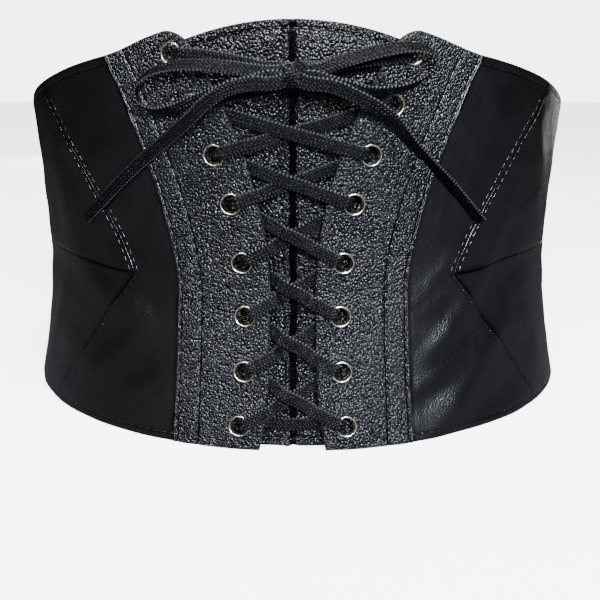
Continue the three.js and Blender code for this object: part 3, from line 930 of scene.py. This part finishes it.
def climb(start_sign, right_over):
    bottom_row = len(eyelet_rows) - 1
    path = []
    sign = start_sign
    for row in range(bottom_row, -1, -1):
        comes_from = eyelet_at(-sign, row) if row == bottom_row else crossing_point(-sign, row + 1)
        goes_to = crossing_point(sign, row) if row else (0.0, eyelet_at(sign, 0)[1] - 4)
        path += passage(sign, row, comes_from, goes_to)
        if row:
            path += strand(sign, row, (row % 2 == 1) == right_over)
        sign = -sign
    return path[:-2]


from_right = climb(1, True)
from_left = climb(-1, False)
behind = station(0.0, eyelet_at(1, len(eyelet_rows) - 1)[1], on_modesty + 0.2)
lacing_stations = from_right[::-1] + [behind] + from_left
lacing_line, lacing_across, lacing_widths = smooth_ribbon(
    [s[:5] for s in lacing_stations], [s[5] for s in lacing_stations]
)
lacing = add_lace("lacing_braid", [ribbon(lacing_line, lacing_across, lacing_widths)], lace_cord)
print("lacing length in mm:", round(path_length(lacing_line) / MM))

# %% [markdown]
# ## Leather walls
# Each panel is one closed sheet between its four curves, with a fine grid that is closer near its
# edges. Free rims are rounded over like a folded hem. At a seam the face rolls in towards the
# joint, which leaves the soft groove of a turned seam. Sewn rows press a shallow channel. A plain
# box bent to shape would have none of these, and light on the edges is what makes it leather.

# %% Grid lines across a wall: share of the way and an offset in mm
edge_lines = [0.0, 0.1, 0.3, 0.6, 1.0, 1.5, 2.1, 2.8, 3.6, 4.6]


def grid_lines(count, start=edge_lines, end=edge_lines):
    lines = [(0.0, d) for d in start]
    for k in range(1, count):
        share = k / count
        lines.append((share, start[-1] * (1 - share) - end[-1] * share))
    lines += [(1.0, -d) for d in reversed(end)]
    return np.array(lines)


pucker_step = 4.4  # mm, the leather gathers once a stitch
pucker_share = 0.35
rim_radius = 1.0
back_rim_share = 0.96
seam_radius, seam_drop = 0.8, 0.2
# where a seam's pressed mark lies; the groove attribute it makes also darkens the leather there as
# painted shade
seam_mark_at, seam_mark_half = 0.3, 0.8
channel_mark_share = 0.9
wear_reach = 0.8
hem_turning = 6.0  # mm of leather that a hem's turning shows inside


def roll_over(distance, radius):
    """How far a rounded edge has dropped at a distance from it."""
    inside = np.clip(1 - distance / radius, 0, 1)
    return radius * (1 - np.sqrt(1 - inside * inside))


def channel(distance, at, half_width):
    return np.exp(-(((distance - at) / half_width) ** 2))


def soft_waves(along, height, size, seed):
    """Even, gentle unevenness of handled leather between -1 and 1, at about one size."""
    draw = random.Random(seed)
    total = 0.0
    for _ in range(6):
        heading = draw.uniform(0, math.pi)
        rate = 2 * math.pi / (size * draw.uniform(0.75, 1.4))
        run = along * math.cos(heading) + height * math.sin(heading)
        total = total + np.sin(rate * run + draw.uniform(0, 6.28))
    return total / 3.2


def wall(name, side, start, end, low, high, columns, rows, outer, inner, materials,
         rims=("low", "high"), seams=(), channels=()):
    """A closed leather panel. outer and inner give its faces as stand-offs."""
    height = np.full((len(rows), len(columns)), front_height / 2)
    for _ in range(16):
        first = start(height)
        last = end(height)
        along = first + (last - first) * columns[:, 0] + columns[:, 1]
        bottom = low(along, along - first)
        top = high(along, along - first)
        height = bottom + (top - bottom) * rows[:, :1] + rows[:, 1:]
    distance = {
        "start": along - first, "end": last - along, "low": height - bottom, "high": top - height,
    }
    face = outer(along, height)
    back = inner(along, height)
    half = (face - back) / 2
    drop = np.zeros_like(face)
    lift = np.zeros_like(face)
    for edge in rims:
        rounded = roll_over(distance[edge], rim_radius) * half
        drop = np.maximum(drop, rounded)
        lift = np.maximum(lift, rounded * back_rim_share)
    # pressed: the sewn rows and seams, kept as the groove attribute, which smooths the leather there and
    # darkens it as painted shade
    pressed = np.zeros_like(face)
    for edge in seams:
        drop = np.maximum(drop, roll_over(distance[edge], seam_radius) * seam_drop)
        pressed = np.maximum(pressed, channel(distance[edge], seam_mark_at, seam_mark_half))
    for edge, at, depth, half_width in channels:
        pucker = 1 + pucker_share * np.sin(2 * math.pi * (along + height) / pucker_step)
        drop = drop + depth * pucker * channel(distance[edge], at, half_width)
        pressed = np.maximum(pressed, channel(distance[edge], at, half_width * channel_mark_share))
    faces_out = place(side * along, height, face - drop)
    faces_in = place(side * along, height, back + lift)
    points = np.concatenate([faces_out.reshape(-1, 3), faces_in.reshape(-1, 3)])
    across, count = len(columns), len(rows) * len(columns)
    r, c = np.meshgrid(np.arange(len(rows) - 1), np.arange(across - 1), indexing="ij")
    a = (r * across + c).ravel()
    front_quads = np.stack([a, a + 1, a + across + 1, a + across], -1)
    back_quads = np.stack([a, a + across, a + across + 1, a + 1], -1) + count
    ring = np.concatenate([
        np.arange(across), np.arange(1, len(rows)) * across + across - 1,
        (len(rows) - 1) * across + np.arange(across - 2, -1, -1),
        np.arange(len(rows) - 2, 0, -1) * across,
    ])
    after = np.roll(ring, -1)
    rim_quads = np.stack([after, ring, ring + count, after + count], -1)
    quads = np.concatenate([front_quads, back_quads, rim_quads])
    if side < 0:
        quads = quads[:, ::-1]
    piece = add_mesh(name, points, quads.tolist(), *materials)
    rim_near = np.minimum.reduce([distance[edge] for edge in rims])
    worn = np.exp(-rim_near / wear_reach)
    for label, values in (("rim", worn), ("groove", pressed)):
        mark = piece.data.attributes.new(label, "FLOAT", "POINT")
        mark.data.foreach_set("value", np.concatenate([values.ravel()] * 2).astype(np.float32))
    if len(materials) > 1:
        shows_cloth = rim_near.ravel()[a] > hem_turning
        kinds = np.concatenate([np.zeros(len(a)), shows_cloth, np.zeros(len(ring))]).astype(np.int32)
        piece.data.polygons.foreach_set("material_index", kinds)
    print(name, "triangles:", 2 * len(quads))
    return piece


# %% [markdown]
# ### Flaps
# The flaps carry the eyelets. Their inner edge is folded and soft, the top inner corner is round,
# and two sewn rows 8 mm apart run up the outer edge. The leather is pressed in round each eyelet.

# %% Two flaps, drilled for the eyelets
strip_width = 8.0
flap_row_inset = 1.5
hole_radius = 3.22
flap_end_lines = [0.0, 0.1, 0.3, 0.6, 0.9, 1.2, 1.5, 1.8, 2.1, 2.5, 3.1, 4.0, 5.2, 6.6, 7.8, 8.5,
                  8.9, 9.2, 9.5, 9.8, 10.1, 10.5, 11.2]
flap_start_lines = [0.0, 0.05, 0.15, 0.3, 0.55, 0.9, 1.35, 1.9, 2.6, 3.4, 4.3, 5.3, 6.4, 7.4]


def eyelet_press(along, height):
    """The leather is pulled in under each rim and bulges a little round it."""
    change = 0.0
    for row in range(len(eyelet_rows)):
        eye = eyelet_at(1, row)
        r = np.hypot(along - eye[0], height - eye[1])
        change = change - 0.3 * channel(r, 3.7, 0.9) + 0.16 * channel(r, 6.0, 1.3)
    return change


def flap_face(seed):
    def face(along, height):
        gentle = 0.22 * soft_waves(along, height, 26, seed)
        gentle = gentle + 0.07 * soft_waves(along, height, 7, seed + 1)
        gentle = gentle * smooth((along - flap_inner(height)) / 4)
        return flap_proud + gentle + eyelet_press(along, height)
    return face


def drill_flap(flap, sign):
    """Cut the round holes that the eyelets' barrels fill."""
    drill = bmesh.new()
    for row in range(len(eyelet_rows)):
        along, height = eyelet_at(sign, row)
        normal = Vector(outward(np.array(along), np.array(height)))
        turn = normal.to_track_quat("Z", "Y").to_matrix().to_4x4()
        turn.translation = Vector(place(along, height, flap_proud - flap_wall / 2))
        bmesh.ops.create_cone(drill, cap_ends=True, segments=36, radius1=hole_radius * MM,
                              radius2=hole_radius * MM, depth=8 * MM, matrix=turn)
    mesh = bpy.data.meshes.new("eyelet_drill")
    drill.to_mesh(mesh)
    drill.free()
    cutter = bpy.data.objects.new("eyelet_drill", mesh)
    bpy.context.scene.collection.objects.link(cutter)
    cut = flap.modifiers.new("holes", "BOOLEAN")
    cut.object = cutter
    cut.operation = "DIFFERENCE"
    cut.solver = "EXACT"
    make_plain(flap)
    bpy.data.objects.remove(cutter)


def make_plain(piece):
    """Turn the evaluated object into a plain mesh and drop its modifiers."""
    graph = bpy.context.evaluated_depsgraph_get()
    made = bpy.data.meshes.new_from_object(piece.evaluated_get(graph), depsgraph=graph)
    piece.modifiers.clear()
    piece.data = made
    return piece


flaps = {}
for label, sign in sides.items():
    flaps[label] = wall(
        f"flap_leather_{label}", sign, flap_inner, flap_outer, bottom_edge, flap_top,
        grid_lines(18, flap_start_lines, flap_end_lines), grid_lines(96),
        flap_face(3 + sign), lambda along, height: flap_proud - flap_wall + 0 * along,
        [flap_leather, leather_back], rims=("start", "end", "low", "high"),
        channels=[("end", flap_row_inset, 0.35, 0.6), ("end", flap_row_inset + strip_width, 0.4, 0.7)],
    )
    drill_flap(flaps[label], sign)
    print("holes cut, faces:", len(flaps[label].data.polygons))

# %% [markdown]
# ### Side panels
# Three glossier panels on each side meet in crossed seams: a front piece beside the flap, and two
# wedges behind the diagonals, above and below the waist seam. Pulling the lace drags diagonal folds
# into the lower front piece, which show best on the right, where the light comes from.

# %% Drag folds of the side leather: along, height, lean, reach, width, rise in mm
drag_folds = {
    "right": [
        (56.5, 62.5, 45, 10, 3.4, 0.75), (57, 54, 38, 12, 3.0, -0.2), (59, 46, 43, 13, 3.6, -0.75),
        (57, 53.5, 34, 11, 2.8, 0.6), (58, 36, 30, 11, 3.4, 0.45), (59, 26.5, 24, 14, 3.6, 0.8),
        (56, 17.5, 26, 13, 3.4, -0.8), (63.5, 11.5, 36, 13, 3.6, 0.8), (66, 3, 20, 12, 3.0, -0.4),
        (86, 74, 60, 22, 5.0, 0.5), (118, 30, -64, 26, 6.0, 0.6), (140, 60, 85, 30, 8.0, 0.6),
    ],
    "left": [
        (60.9, 66.9, 40, 9, 3.4, 0.55), (57.8, 52.7, 30, 10, 3.6, -0.45), (68, 47, 20, 14, 4.0, 0.4),
        (58, 19, -24, 11, 3.6, 0.6), (50, 8, -30, 9, 3.0, -0.4), (72, 31, -40, 18, 5.0, 0.4),
        (90, 100, 66, 24, 5.0, 0.5), (122, 34, -60, 26, 6.0, 0.6), (140, 60, 85, 30, 8.0, 0.6),
    ],
}


def side_face(label, seed):
    def face(along, height):
        total = 0.16 * soft_waves(along, height, 19, seed) + 0.05 * soft_waves(along, height, 6, seed + 1)
        for at, level, lean, reach, width, rise in drag_folds[label]:
            total = total + rise * fold(along, height, (at, level), lean, reach, width)
        return total
    return face


def side_back(along, height):
    return -side_wall + 0 * along


diagonal_row = 2.1
hem_row = 3.0
side_lines = [0.0, 0.1, 0.3, 0.6, 1.0, 1.4, 1.8, 2.1, 2.4, 2.8, 3.4, 4.4]
hem_lines = [0.0, 0.1, 0.3, 0.6, 1.0, 1.5, 2.1, 2.6, 3.0, 3.4, 4.0, 5.0]
hem_channels = [("low", hem_row, 0.08, 0.4), ("high", hem_row, 0.08, 0.4)]
leathers = [side_leather, leather_back]


def side_edge(height):
    return 0 * height + side_seam


side_panels = []
for label, sign in sides.items():
    outer = side_face(label, 20 + sign)
    front = wall(
        f"side_front_leather_{label}", sign, flap_outer, diagonal_seam, bottom_edge, top_edge,
        grid_lines(26, edge_lines, side_lines), grid_lines(100, hem_lines, hem_lines),
        outer, side_back, leathers, seams=("start", "end"),
        channels=[("end", diagonal_row, 0.08, 0.4), *hem_channels],
    )
    upper = wall(
        f"side_upper_leather_{label}", sign, diagonal_seam, side_edge, waist_seam, top_edge,
        grid_lines(80, side_lines, edge_lines), grid_lines(40, edge_lines, hem_lines),
        outer, side_back, leathers, rims=("high",), seams=("start", "end", "low"),
        channels=[("start", diagonal_row, 0.08, 0.4), ("high", hem_row, 0.08, 0.4)],
    )
    lower = wall(
        f"side_lower_leather_{label}", sign, diagonal_seam, side_edge, bottom_edge, waist_seam,
        grid_lines(90, side_lines, edge_lines), grid_lines(34, hem_lines, edge_lines),
        outer, side_back, leathers, rims=("low",), seams=("start", "end", "high"),
        channels=[("low", hem_row, 0.08, 0.4)],
    )
    side_panels += [(front, f"side_front_{label}"), (upper, f"side_upper_{label}"),
                    (lower, f"side_lower_{label}")]

# %% [markdown]
# ### Back panel
# The photograph hides the back, so it is one plain panel between two straight side seams, with the
# same hem as the sides.

# %% Back panel
def back_face(along, height):
    return 0.18 * soft_waves(along, height, 24, 31) + 0.05 * soft_waves(along, height, 7, 32)


back_panel = wall(
    "back_leather", 1, side_edge, lambda height: girth - side_edge(height), bottom_edge, top_edge,
    grid_lines(150), grid_lines(56, hem_lines, hem_lines), back_face, side_back, leathers,
    seams=("start", "end"), channels=hem_channels,
)

# %% [markdown]
# ### Modesty panel
# The panel behind the lacing is two pebbled halves. They meet in a centre placket: the left half
# ends in a raised fold, and the right half tucks in beside it, which leaves the dark line of the
# photograph. Its side edges come forward and lie against the flaps' backs.

# %% Two halves of the modesty panel
modesty_lap = 1.2
modesty_bend = 9.0
seated_face = flap_proud - flap_wall - 0.3
lip_rise = 0.9
tuck_depth = 1.2
tuck_run = {"left": 1.3, "right": 2.0}


def modesty_face(along, height):
    from_edge = flap_outer(height) - along
    share = smooth((from_edge - strip_width) / modesty_bend)
    return seated_face + (-modesty_recess - seated_face) * share


def modesty_surface(label, seed):
    def face(along, height):
        free = smooth((flap_outer(height) - along - strip_width) / 20)
        gentle = 0.5 * soft_waves(along, height * 1.6, 30, seed)
        gentle = gentle + 0.16 * soft_waves(along, height, 9, seed + 2)
        low_lace = smooth((np.abs(height - eyelet_at(1, 7)[1]) - 3) / 4)
        centre = -tuck_depth * (1 - smooth(along / tuck_run[label]))
        if label == "left":
            centre = centre + lip_rise * low_lace * channel(along, 1.9, 0.9)
        return modesty_face(along, height) + gentle * free * smooth((along - 1.5) / 6) + centre
    return face


def modesty_back(along, height):
    return modesty_face(along, height) - modesty_wall - 0.7 * (1 - smooth(along / 3.0))


def modesty_end(height):
    return flap_outer(height) - modesty_lap


def belt_middle(height):
    return 0 * height


modesty_lines = [0.0, 0.08, 0.25, 0.5, 0.8, 1.1, 1.4, 1.7, 2.0, 2.4, 3.0, 4.0]
modesty_hem_row = 2.9
modesty_hem = [("low", modesty_hem_row, 0.3, 0.45), ("high", modesty_hem_row, 0.3, 0.45)]
placket = {"left": [("start", 0.0, 0.0, 0.7)], "right": [("start", 0.4, 0.0, 1.3)]}
modesty_panels = {}
for label, sign in sides.items():
    face = modesty_surface(label, 40 + sign)
    modesty_panels[label] = wall(
        f"modesty_leather_{label}", sign, belt_middle, modesty_end, bottom_edge, modesty_top,
        grid_lines(44, modesty_lines, edge_lines), grid_lines(104, hem_lines, hem_lines),
        face, modesty_back,
        [modesty_leather, leather_back], rims=("low", "high", "end"), seams=("start",),
        channels=[*modesty_hem, *placket[label]],
    )

# %% [markdown]
# ## Stitches
# Sewn rows are black thread: each stitch is a small grain of thread sunk in its channel. They
# repeat along a path, so Geometry Nodes make them: the row becomes a curve, points stand on it at
# the stitch pitch, and one tapered stitch is copied to each point, turned along the row. The tree
# ends in Realize Instances and Set Material, because the export drops instances.

# %% Stitch tree
def new_tree(name, inputs):
    """A Geometry Nodes tree that takes and gives geometry, with more named inputs."""
    tree = bpy.data.node_groups.new(name, "GeometryNodeTree")
    tree.interface.new_socket("Geometry", in_out="INPUT", socket_type="NodeSocketGeometry")
    for label, kind, value in inputs:
        socket = tree.interface.new_socket(label, in_out="INPUT", socket_type=kind)
        if value is not None:
            socket.default_value = value
    tree.interface.new_socket("Geometry", in_out="OUTPUT", socket_type="NodeSocketGeometry")
    return tree, tree.nodes.new("NodeGroupInput").outputs, tree.nodes.new("NodeGroupOutput").inputs


def add_node(tree, kind, inputs, **settings):
    """One node, its settings made first and its inputs then wired or set."""
    node = tree.nodes.new(kind)
    for label, value in settings.items():
        setattr(node, label, value)
    for label, value in inputs.items():
        wire(tree, value, node.inputs[label])
    return node.outputs


def stitch_tree():
    tree, given, result = new_tree("sewn_row", [
        ("Stitch Pitch", FLOAT, 4.4 * MM), ("Stitch Length", FLOAT, 3.4 * MM),
        ("Thread Width", FLOAT, 0.62 * MM), ("Thread", "NodeSocketMaterial", None),
    ])
    row = add_node(tree, "GeometryNodeMeshToCurve", {"Mesh": given["Geometry"]})
    spots = add_node(tree, "GeometryNodeCurveToPoints",
                     {"Curve": row["Curve"], "Length": given["Stitch Pitch"]}, mode="LENGTH")
    grain = add_node(tree, "GeometryNodeMeshUVSphere", {"Segments": 8, "Rings": 6, "Radius": 0.5})
    width = given["Thread Width"]
    size = add_node(tree, "ShaderNodeCombineXYZ", {"X": width, "Y": width, "Z": given["Stitch Length"]})
    stitch = add_node(tree, "GeometryNodeTransform",
                      {"Geometry": grain["Mesh"], "Scale": size["Vector"]})
    vary = add_node(tree, "FunctionNodeRandomValue", {2: 0.86, 3: 1.1, "Seed": 7}, data_type="FLOAT")
    copies = add_node(tree, "GeometryNodeInstanceOnPoints", {
        "Points": spots["Points"], "Instance": stitch["Geometry"], "Rotation": spots["Rotation"],
        "Scale": vary[1],
    })
    real = add_node(tree, "GeometryNodeRealizeInstances", {"Geometry": copies["Instances"]})
    shade = add_node(tree, "GeometryNodeSetShadeSmooth", {"Geometry": real["Geometry"]})
    finish = add_node(tree, "GeometryNodeSetMaterial",
                      {"Geometry": shade["Geometry"], "Material": given["Thread"]})
    tree.links.new(finish["Geometry"], result["Geometry"])
    return tree


def set_input(modifier, label, value):
    """Set a modifier's input by its socket's identifier."""
    for item in modifier.node_group.interface.items_tree:
        if item.item_type == "SOCKET" and item.in_out == "INPUT" and item.name == label:
            modifier[item.identifier] = value


sewn_row = stitch_tree()
print("stitch tree nodes:", len(sewn_row.nodes))

# %% Sewn rows as paths on the walls
def row_points(side, along, height, face, depth=0.12):
    return place(side * along, height, face(along, height) - depth)


def sew(name, rows, **values):
    """One mesh of stitches for several rows of points."""
    points, edges = [], []
    for row in rows:
        edges += [(len(points) + i, len(points) + i + 1) for i in range(len(row) - 1)]
        points += row.tolist()
    mesh = bpy.data.meshes.new(name)
    mesh.from_pydata(points, edges, [])
    piece = bpy.data.objects.new(name, mesh)
    bpy.context.scene.collection.objects.link(piece)
    modifier = piece.modifiers.new("stitches", "NODES")
    modifier.node_group = sewn_row
    set_input(modifier, "Thread", stitch_thread)
    for label, value in values.items():
        set_input(modifier, label.replace("_", " "), value)
    make_plain(piece)
    print(name, "triangles:", sum(len(f.vertices) - 2 for f in piece.data.polygons))
    return piece


def going_up(low, high, step=1.5):
    return np.linspace(low, high, max(2, int(abs(high - low) / step)))


first_stitch = 2.4  # mm above the bottom rim
diagonal_thread = {"Stitch_Pitch": 3.4 * MM, "Stitch_Length": 2.6 * MM, "Thread_Width": 0.5 * MM}
hem_thread = {"Stitch_Pitch": 3.6 * MM, "Stitch_Length": 2.8 * MM, "Thread_Width": 0.42 * MM}
modesty_thread = {"Stitch_Pitch": 2.9 * MM, "Stitch_Length": 2.2 * MM, "Thread_Width": 0.45 * MM}


def hem_rows(side, top_from, low_from, to, face):
    """The rows along a panel's top and bottom rims."""
    above = going_up(top_from, to)
    below = going_up(low_from, to)
    return [row_points(side, above, top_edge(above) - hem_row, face),
            row_points(side, below, 0 * below + hem_row, face)]


stitch_pieces = []
for label, sign in sides.items():
    rows = []
    face = flap_face(3 + sign)
    for inset, top_guess in ((flap_row_inset, 138), (flap_row_inset + strip_width, 143)):
        up = going_up(first_stitch, top_guess)
        top = top_edge(flap_outer(up) - inset)
        up = up * (top[-1] - first_stitch) / up[-1]
        rows.append(row_points(sign, flap_outer(up) - inset, up, face))
    stitch_pieces.append((sew(f"flap_stitches_{label}", rows), "flap_leather"))

    face = side_face(label, 20 + sign)
    up = going_up(junction_height + 1.5, upper_seam_end - 7)
    rows = [row_points(sign, diagonal_seam(up) + offset, up, face)
            for offset in (-diagonal_row, diagonal_row)]
    up = going_up(2.0, junction_height - 2.5)
    rows.append(row_points(sign, diagonal_seam(up) - diagonal_row, up, face))
    sewn = sew(f"diagonal_stitches_{label}", rows, **diagonal_thread)
    stitch_pieces.append((sewn, "side_leather"))

    rows = hem_rows(sign, float(flap_outer(upper_seam_end)) + 0.5, float(flap_outer(0.0)) + 1.0,
                    side_seam - 1, face)
    stitch_pieces.append((sew(f"hem_stitches_{label}", rows, **hem_thread), "side_leather"))

    face = modesty_surface(label, 40 + sign)
    above = going_up(1.5, modesty_half)
    below = going_up(1.5, 30)
    rows = [row_points(sign, above, modesty_top(above) - modesty_hem_row, face),
            row_points(sign, below, 0 * below + modesty_hem_row, face)]
    sewn = sew(f"modesty_stitches_{label}", rows, **modesty_thread)
    stitch_pieces.append((sewn, "modesty_leather"))

rows = hem_rows(1, side_seam + 1, side_seam + 1, girth - side_seam - 1, back_face)
stitch_pieces.append((sew("hem_stitches_back", rows, **hem_thread), "side_leather"))

# %% [markdown]
# ## Eyelets
# An eyelet is a turned brass barrel with a rolled rim. One is turned from a profile, and a second
# tree copies it to a point at every hole, facing out of the flap, each with its own spin so that
# stains don't repeat.

# %% One eyelet, turned round the Z axis
eyelet_profile = [
    (2.98, -2.9), (3.18, -2.9), (3.18, 0.02), (3.3, -0.02), (3.9, 0.0), (4.0, 0.12), (3.98, 0.32),
    (3.88, 0.5), (3.7, 0.6), (3.52, 0.59), (3.36, 0.47), (3.2, 0.22), (3.08, -0.15), (3.02, -0.8),
]


def turned(name, profile, sides_round, material):
    """A closed profile turned round Z, in millimetres."""
    turn = np.linspace(0, 2 * math.pi, sides_round, endpoint=False)
    r, z = np.array(profile).T
    rings = [np.outer(np.cos(turn), r), np.outer(np.sin(turn), r), np.tile(z, (sides_round, 1))]
    points = np.stack(rings, -1)
    m = len(profile)
    faces = []
    for i in range(sides_round):
        for k in range(m):
            a, b = i * m + k, i * m + (k + 1) % m
            c = ((i + 1) % sides_round) * m
            faces.append((a, c + k, c + (k + 1) % m, b))
    return add_mesh(name, points.reshape(-1, 3) * MM, faces, material)


def eyelet_tree():
    tree, given, result = new_tree("set_eyelets", [
        ("Eyelet", "NodeSocketObject", None), ("Size", FLOAT, 1.0), ("Brass", "NodeSocketMaterial", None),
    ])
    blank = add_node(tree, "GeometryNodeObjectInfo", {"Object": given["Eyelet"]})
    facing = add_node(tree, "GeometryNodeInputNamedAttribute", {"Name": "facing"},
                      data_type="FLOAT_VECTOR")
    turn = add_node(tree, "FunctionNodeAlignRotationToVector", {"Vector": facing["Attribute"]}, axis="Z")
    spin = add_node(tree, "FunctionNodeRandomValue", {3: 2 * math.pi, "Seed": 4}, data_type="FLOAT")
    spin_vector = add_node(tree, "ShaderNodeCombineXYZ", {"Z": spin[1]})
    both = add_node(tree, "FunctionNodeRotateRotation",
                    {"Rotation": turn["Rotation"], "Rotate By": spin_vector["Vector"]},
                    rotation_space="LOCAL")
    copies = add_node(tree, "GeometryNodeInstanceOnPoints", {
        "Points": given["Geometry"], "Instance": blank["Geometry"], "Rotation": both["Rotation"],
        "Scale": given["Size"],
    })
    real = add_node(tree, "GeometryNodeRealizeInstances", {"Geometry": copies["Instances"]})
    finish = add_node(tree, "GeometryNodeSetMaterial",
                      {"Geometry": real["Geometry"], "Material": given["Brass"]})
    tree.links.new(finish["Geometry"], result["Geometry"])
    return tree


# %% Sixteen eyelets in one piece
eyelet_blank = turned("eyelet_blank", eyelet_profile, 56, eyelet_brass)
spots = [eyelet_at(sign, row) for sign in sides.values() for row in range(len(eyelet_rows))]
spot_along, spot_height = np.array(spots).T
eyelet_points = bpy.data.meshes.new("eyelets")
eyelet_points.from_pydata(place(spot_along, spot_height, flap_proud - 0.02).tolist(), [], [])
facing_out = eyelet_points.attributes.new("facing", "FLOAT_VECTOR", "POINT")
facing_out.data.foreach_set("vector", outward(spot_along, spot_height).astype(np.float32).ravel())
eyelets = bpy.data.objects.new("brass_eyelets", eyelet_points)
bpy.context.scene.collection.objects.link(eyelets)
setting = eyelets.modifiers.new("eyelets", "NODES")
setting.node_group = eyelet_tree()
set_input(setting, "Eyelet", eyelet_blank)
set_input(setting, "Brass", eyelet_brass)
make_plain(eyelets)
bpy.data.objects.remove(eyelet_blank)
print("eyelets, faces:", len(eyelets.data.polygons))

# %% [markdown]
# ## Floor and light
# Black gloss shows what it mirrors more than its own colour. One square softbox in front and to the
# right puts a fleck on each pebble, two weaker ones fill from the left and from above, and two tall
# ones behind draw soft streaks near the outline. The camera sees a pale floor and room, but the
# leather is lit by a dark one, with one dim card on the floor that the smooth walls mirror. A room
# that is white for all rays would turn the black belt grey.

# %% Floor
floor_seen_glow = 3.2
card_middle = (0.13, -0.42)
card_half = (0.24, 0.3)
card_core = 0.6  # share of the card before it fades
card_glow = 0.1
floor_size = 6.0

floor_material, floor_tree, floor_surface, floor_place = new_material("pale_floor")
work = maths_of(floor_tree)
seen = floor_tree.nodes.new("ShaderNodeLightPath").outputs["Is Camera Ray"]
floor_tone = mix_colour(floor_tree, seen, (0.05, 0.05, 0.052, 1), (0.93, 0.93, 0.93, 1))
wire(floor_tree, floor_tone, floor_surface.inputs["Base Color"])
floor_surface.inputs["Roughness"].default_value = 0.9
floor_surface.inputs["Specular IOR Level"].default_value = 0.0
floor_glow = mix_colour(floor_tree, seen, (0.74, 0.79, 1.0, 1), (1, 1, 1, 1))
wire(floor_tree, floor_glow, floor_surface.inputs["Emission Color"])
spot = floor_tree.nodes.new("ShaderNodeSeparateXYZ")
floor_tree.links.new(floor_place, spot.inputs[0])
shares = []
for axis in (0, 1):
    off = work("ABSOLUTE", work("SUBTRACT", spot.outputs[axis], card_middle[axis]))
    shares.append(add_range(floor_tree, off, card_half[axis] * card_core, card_half[axis], 1.0, 0.0))
card = work("MULTIPLY", work("MULTIPLY", shares[0], shares[1]), card_glow)
away = work("MULTIPLY", card, work("SUBTRACT", 1.0, seen))
glow = work("MULTIPLY_ADD", seen, floor_seen_glow, away)
wire(floor_tree, glow, floor_surface.inputs["Emission Strength"])
floor_mesh = bpy.data.meshes.new("floor")
corners = [(x * floor_size, y * floor_size, 0) for x, y in ((-1, -1), (1, -1), (1, 1), (-1, 1))]
floor_mesh.from_pydata(corners, [], [(0, 1, 2, 3)])
floor_mesh.materials.append(floor_material)
floor = bpy.data.objects.new("floor", floor_mesh)
bpy.context.scene.collection.objects.link(floor)
print("floor in metres:", 2 * floor_size)

# %% World and softboxes
room_seen = 5.2
room_light = 0.02
aim = (0.0, 0.0, 0.07)

# Softboxes: name, place, width and height in metres, power in watts, colour
softboxes = [
    ("key_softbox", (0.3, -1.25, 0.6), 0.4, 0.4, 85, (0.80, 0.86, 1.0)),
    ("left_softbox", (-0.55, -1.1, 0.85), 0.25, 0.25, 14, (1, 1, 1)),
    ("top_softbox", (0.1, -0.35, 1.1), 0.4, 0.2, 26, (1, 1, 1)),
    ("rim_left", (-0.42, 1.15, 0.35), 0.1, 0.8, 3, (1, 1, 1)),
    ("rim_right", (0.75, 0.95, 0.35), 0.08, 0.8, 1.2, (1, 1, 1)),
]
world = bpy.data.worlds.new("studio")
world.use_nodes = True
bpy.context.scene.world = world
room = world.node_tree
background = room.nodes["Background"]
background.inputs["Color"].default_value = (1.0, 1.0, 1.0, 1.0)
seen = room.nodes.new("ShaderNodeLightPath").outputs["Is Camera Ray"]
wire(room, add_math(room, "MULTIPLY_ADD", seen, room_seen, room_light), background.inputs["Strength"])
for name, at, width, height, power, colour in softboxes:
    light = bpy.data.lights.new(name, "AREA")
    light.shape = "RECTANGLE"
    light.size = width
    light.size_y = height
    light.energy = power
    light.color = colour
    lamp = bpy.data.objects.new(name, light)
    lamp.location = at
    lamp.rotation_euler = (Vector(aim) - Vector(at)).to_track_quat("-Z", "Y").to_euler()
    bpy.context.scene.collection.objects.link(lamp)
print("softboxes:", [box[0] for box in softboxes])

# %% [markdown]
# ## Riding and the pieces that are replaced
# The belt has no joint, so each piece rides on the root body. A dressed piece stands for its
# imported solid, which stays in the simulation.

# %% Bodies and replaced nodes
def dress(piece, slot, *nodes):
    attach(piece, "root")
    if nodes:
        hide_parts(*nodes)


for label in sides:
    dress(flaps[label], "flap_leather", f"flap_{label}")
    dress(modesty_panels[label], "modesty_leather", f"modesty_{label}")
    dress(bow_pieces[label], "lace_cord", f"lead_{label}", f"loop_{label}", f"tail_{label}")
for panel, node in side_panels:
    dress(panel, "side_leather", node)
dress(back_panel, "side_leather", "back_panel")
dress(lacing, "lace_cord", "lacing")
dress(bow_knot, "lace_cord", "bow_knot")
eyelet_nodes = [f"eyelet_{label}_{row + 1}" for label in sides for row in range(len(eyelet_rows))]
dress(eyelets, "eyelet_brass", *eyelet_nodes)
for piece, slot in stitch_pieces:
    dress(piece, slot)

for label, sign in sides.items():
    line = bow_routes[label][0]
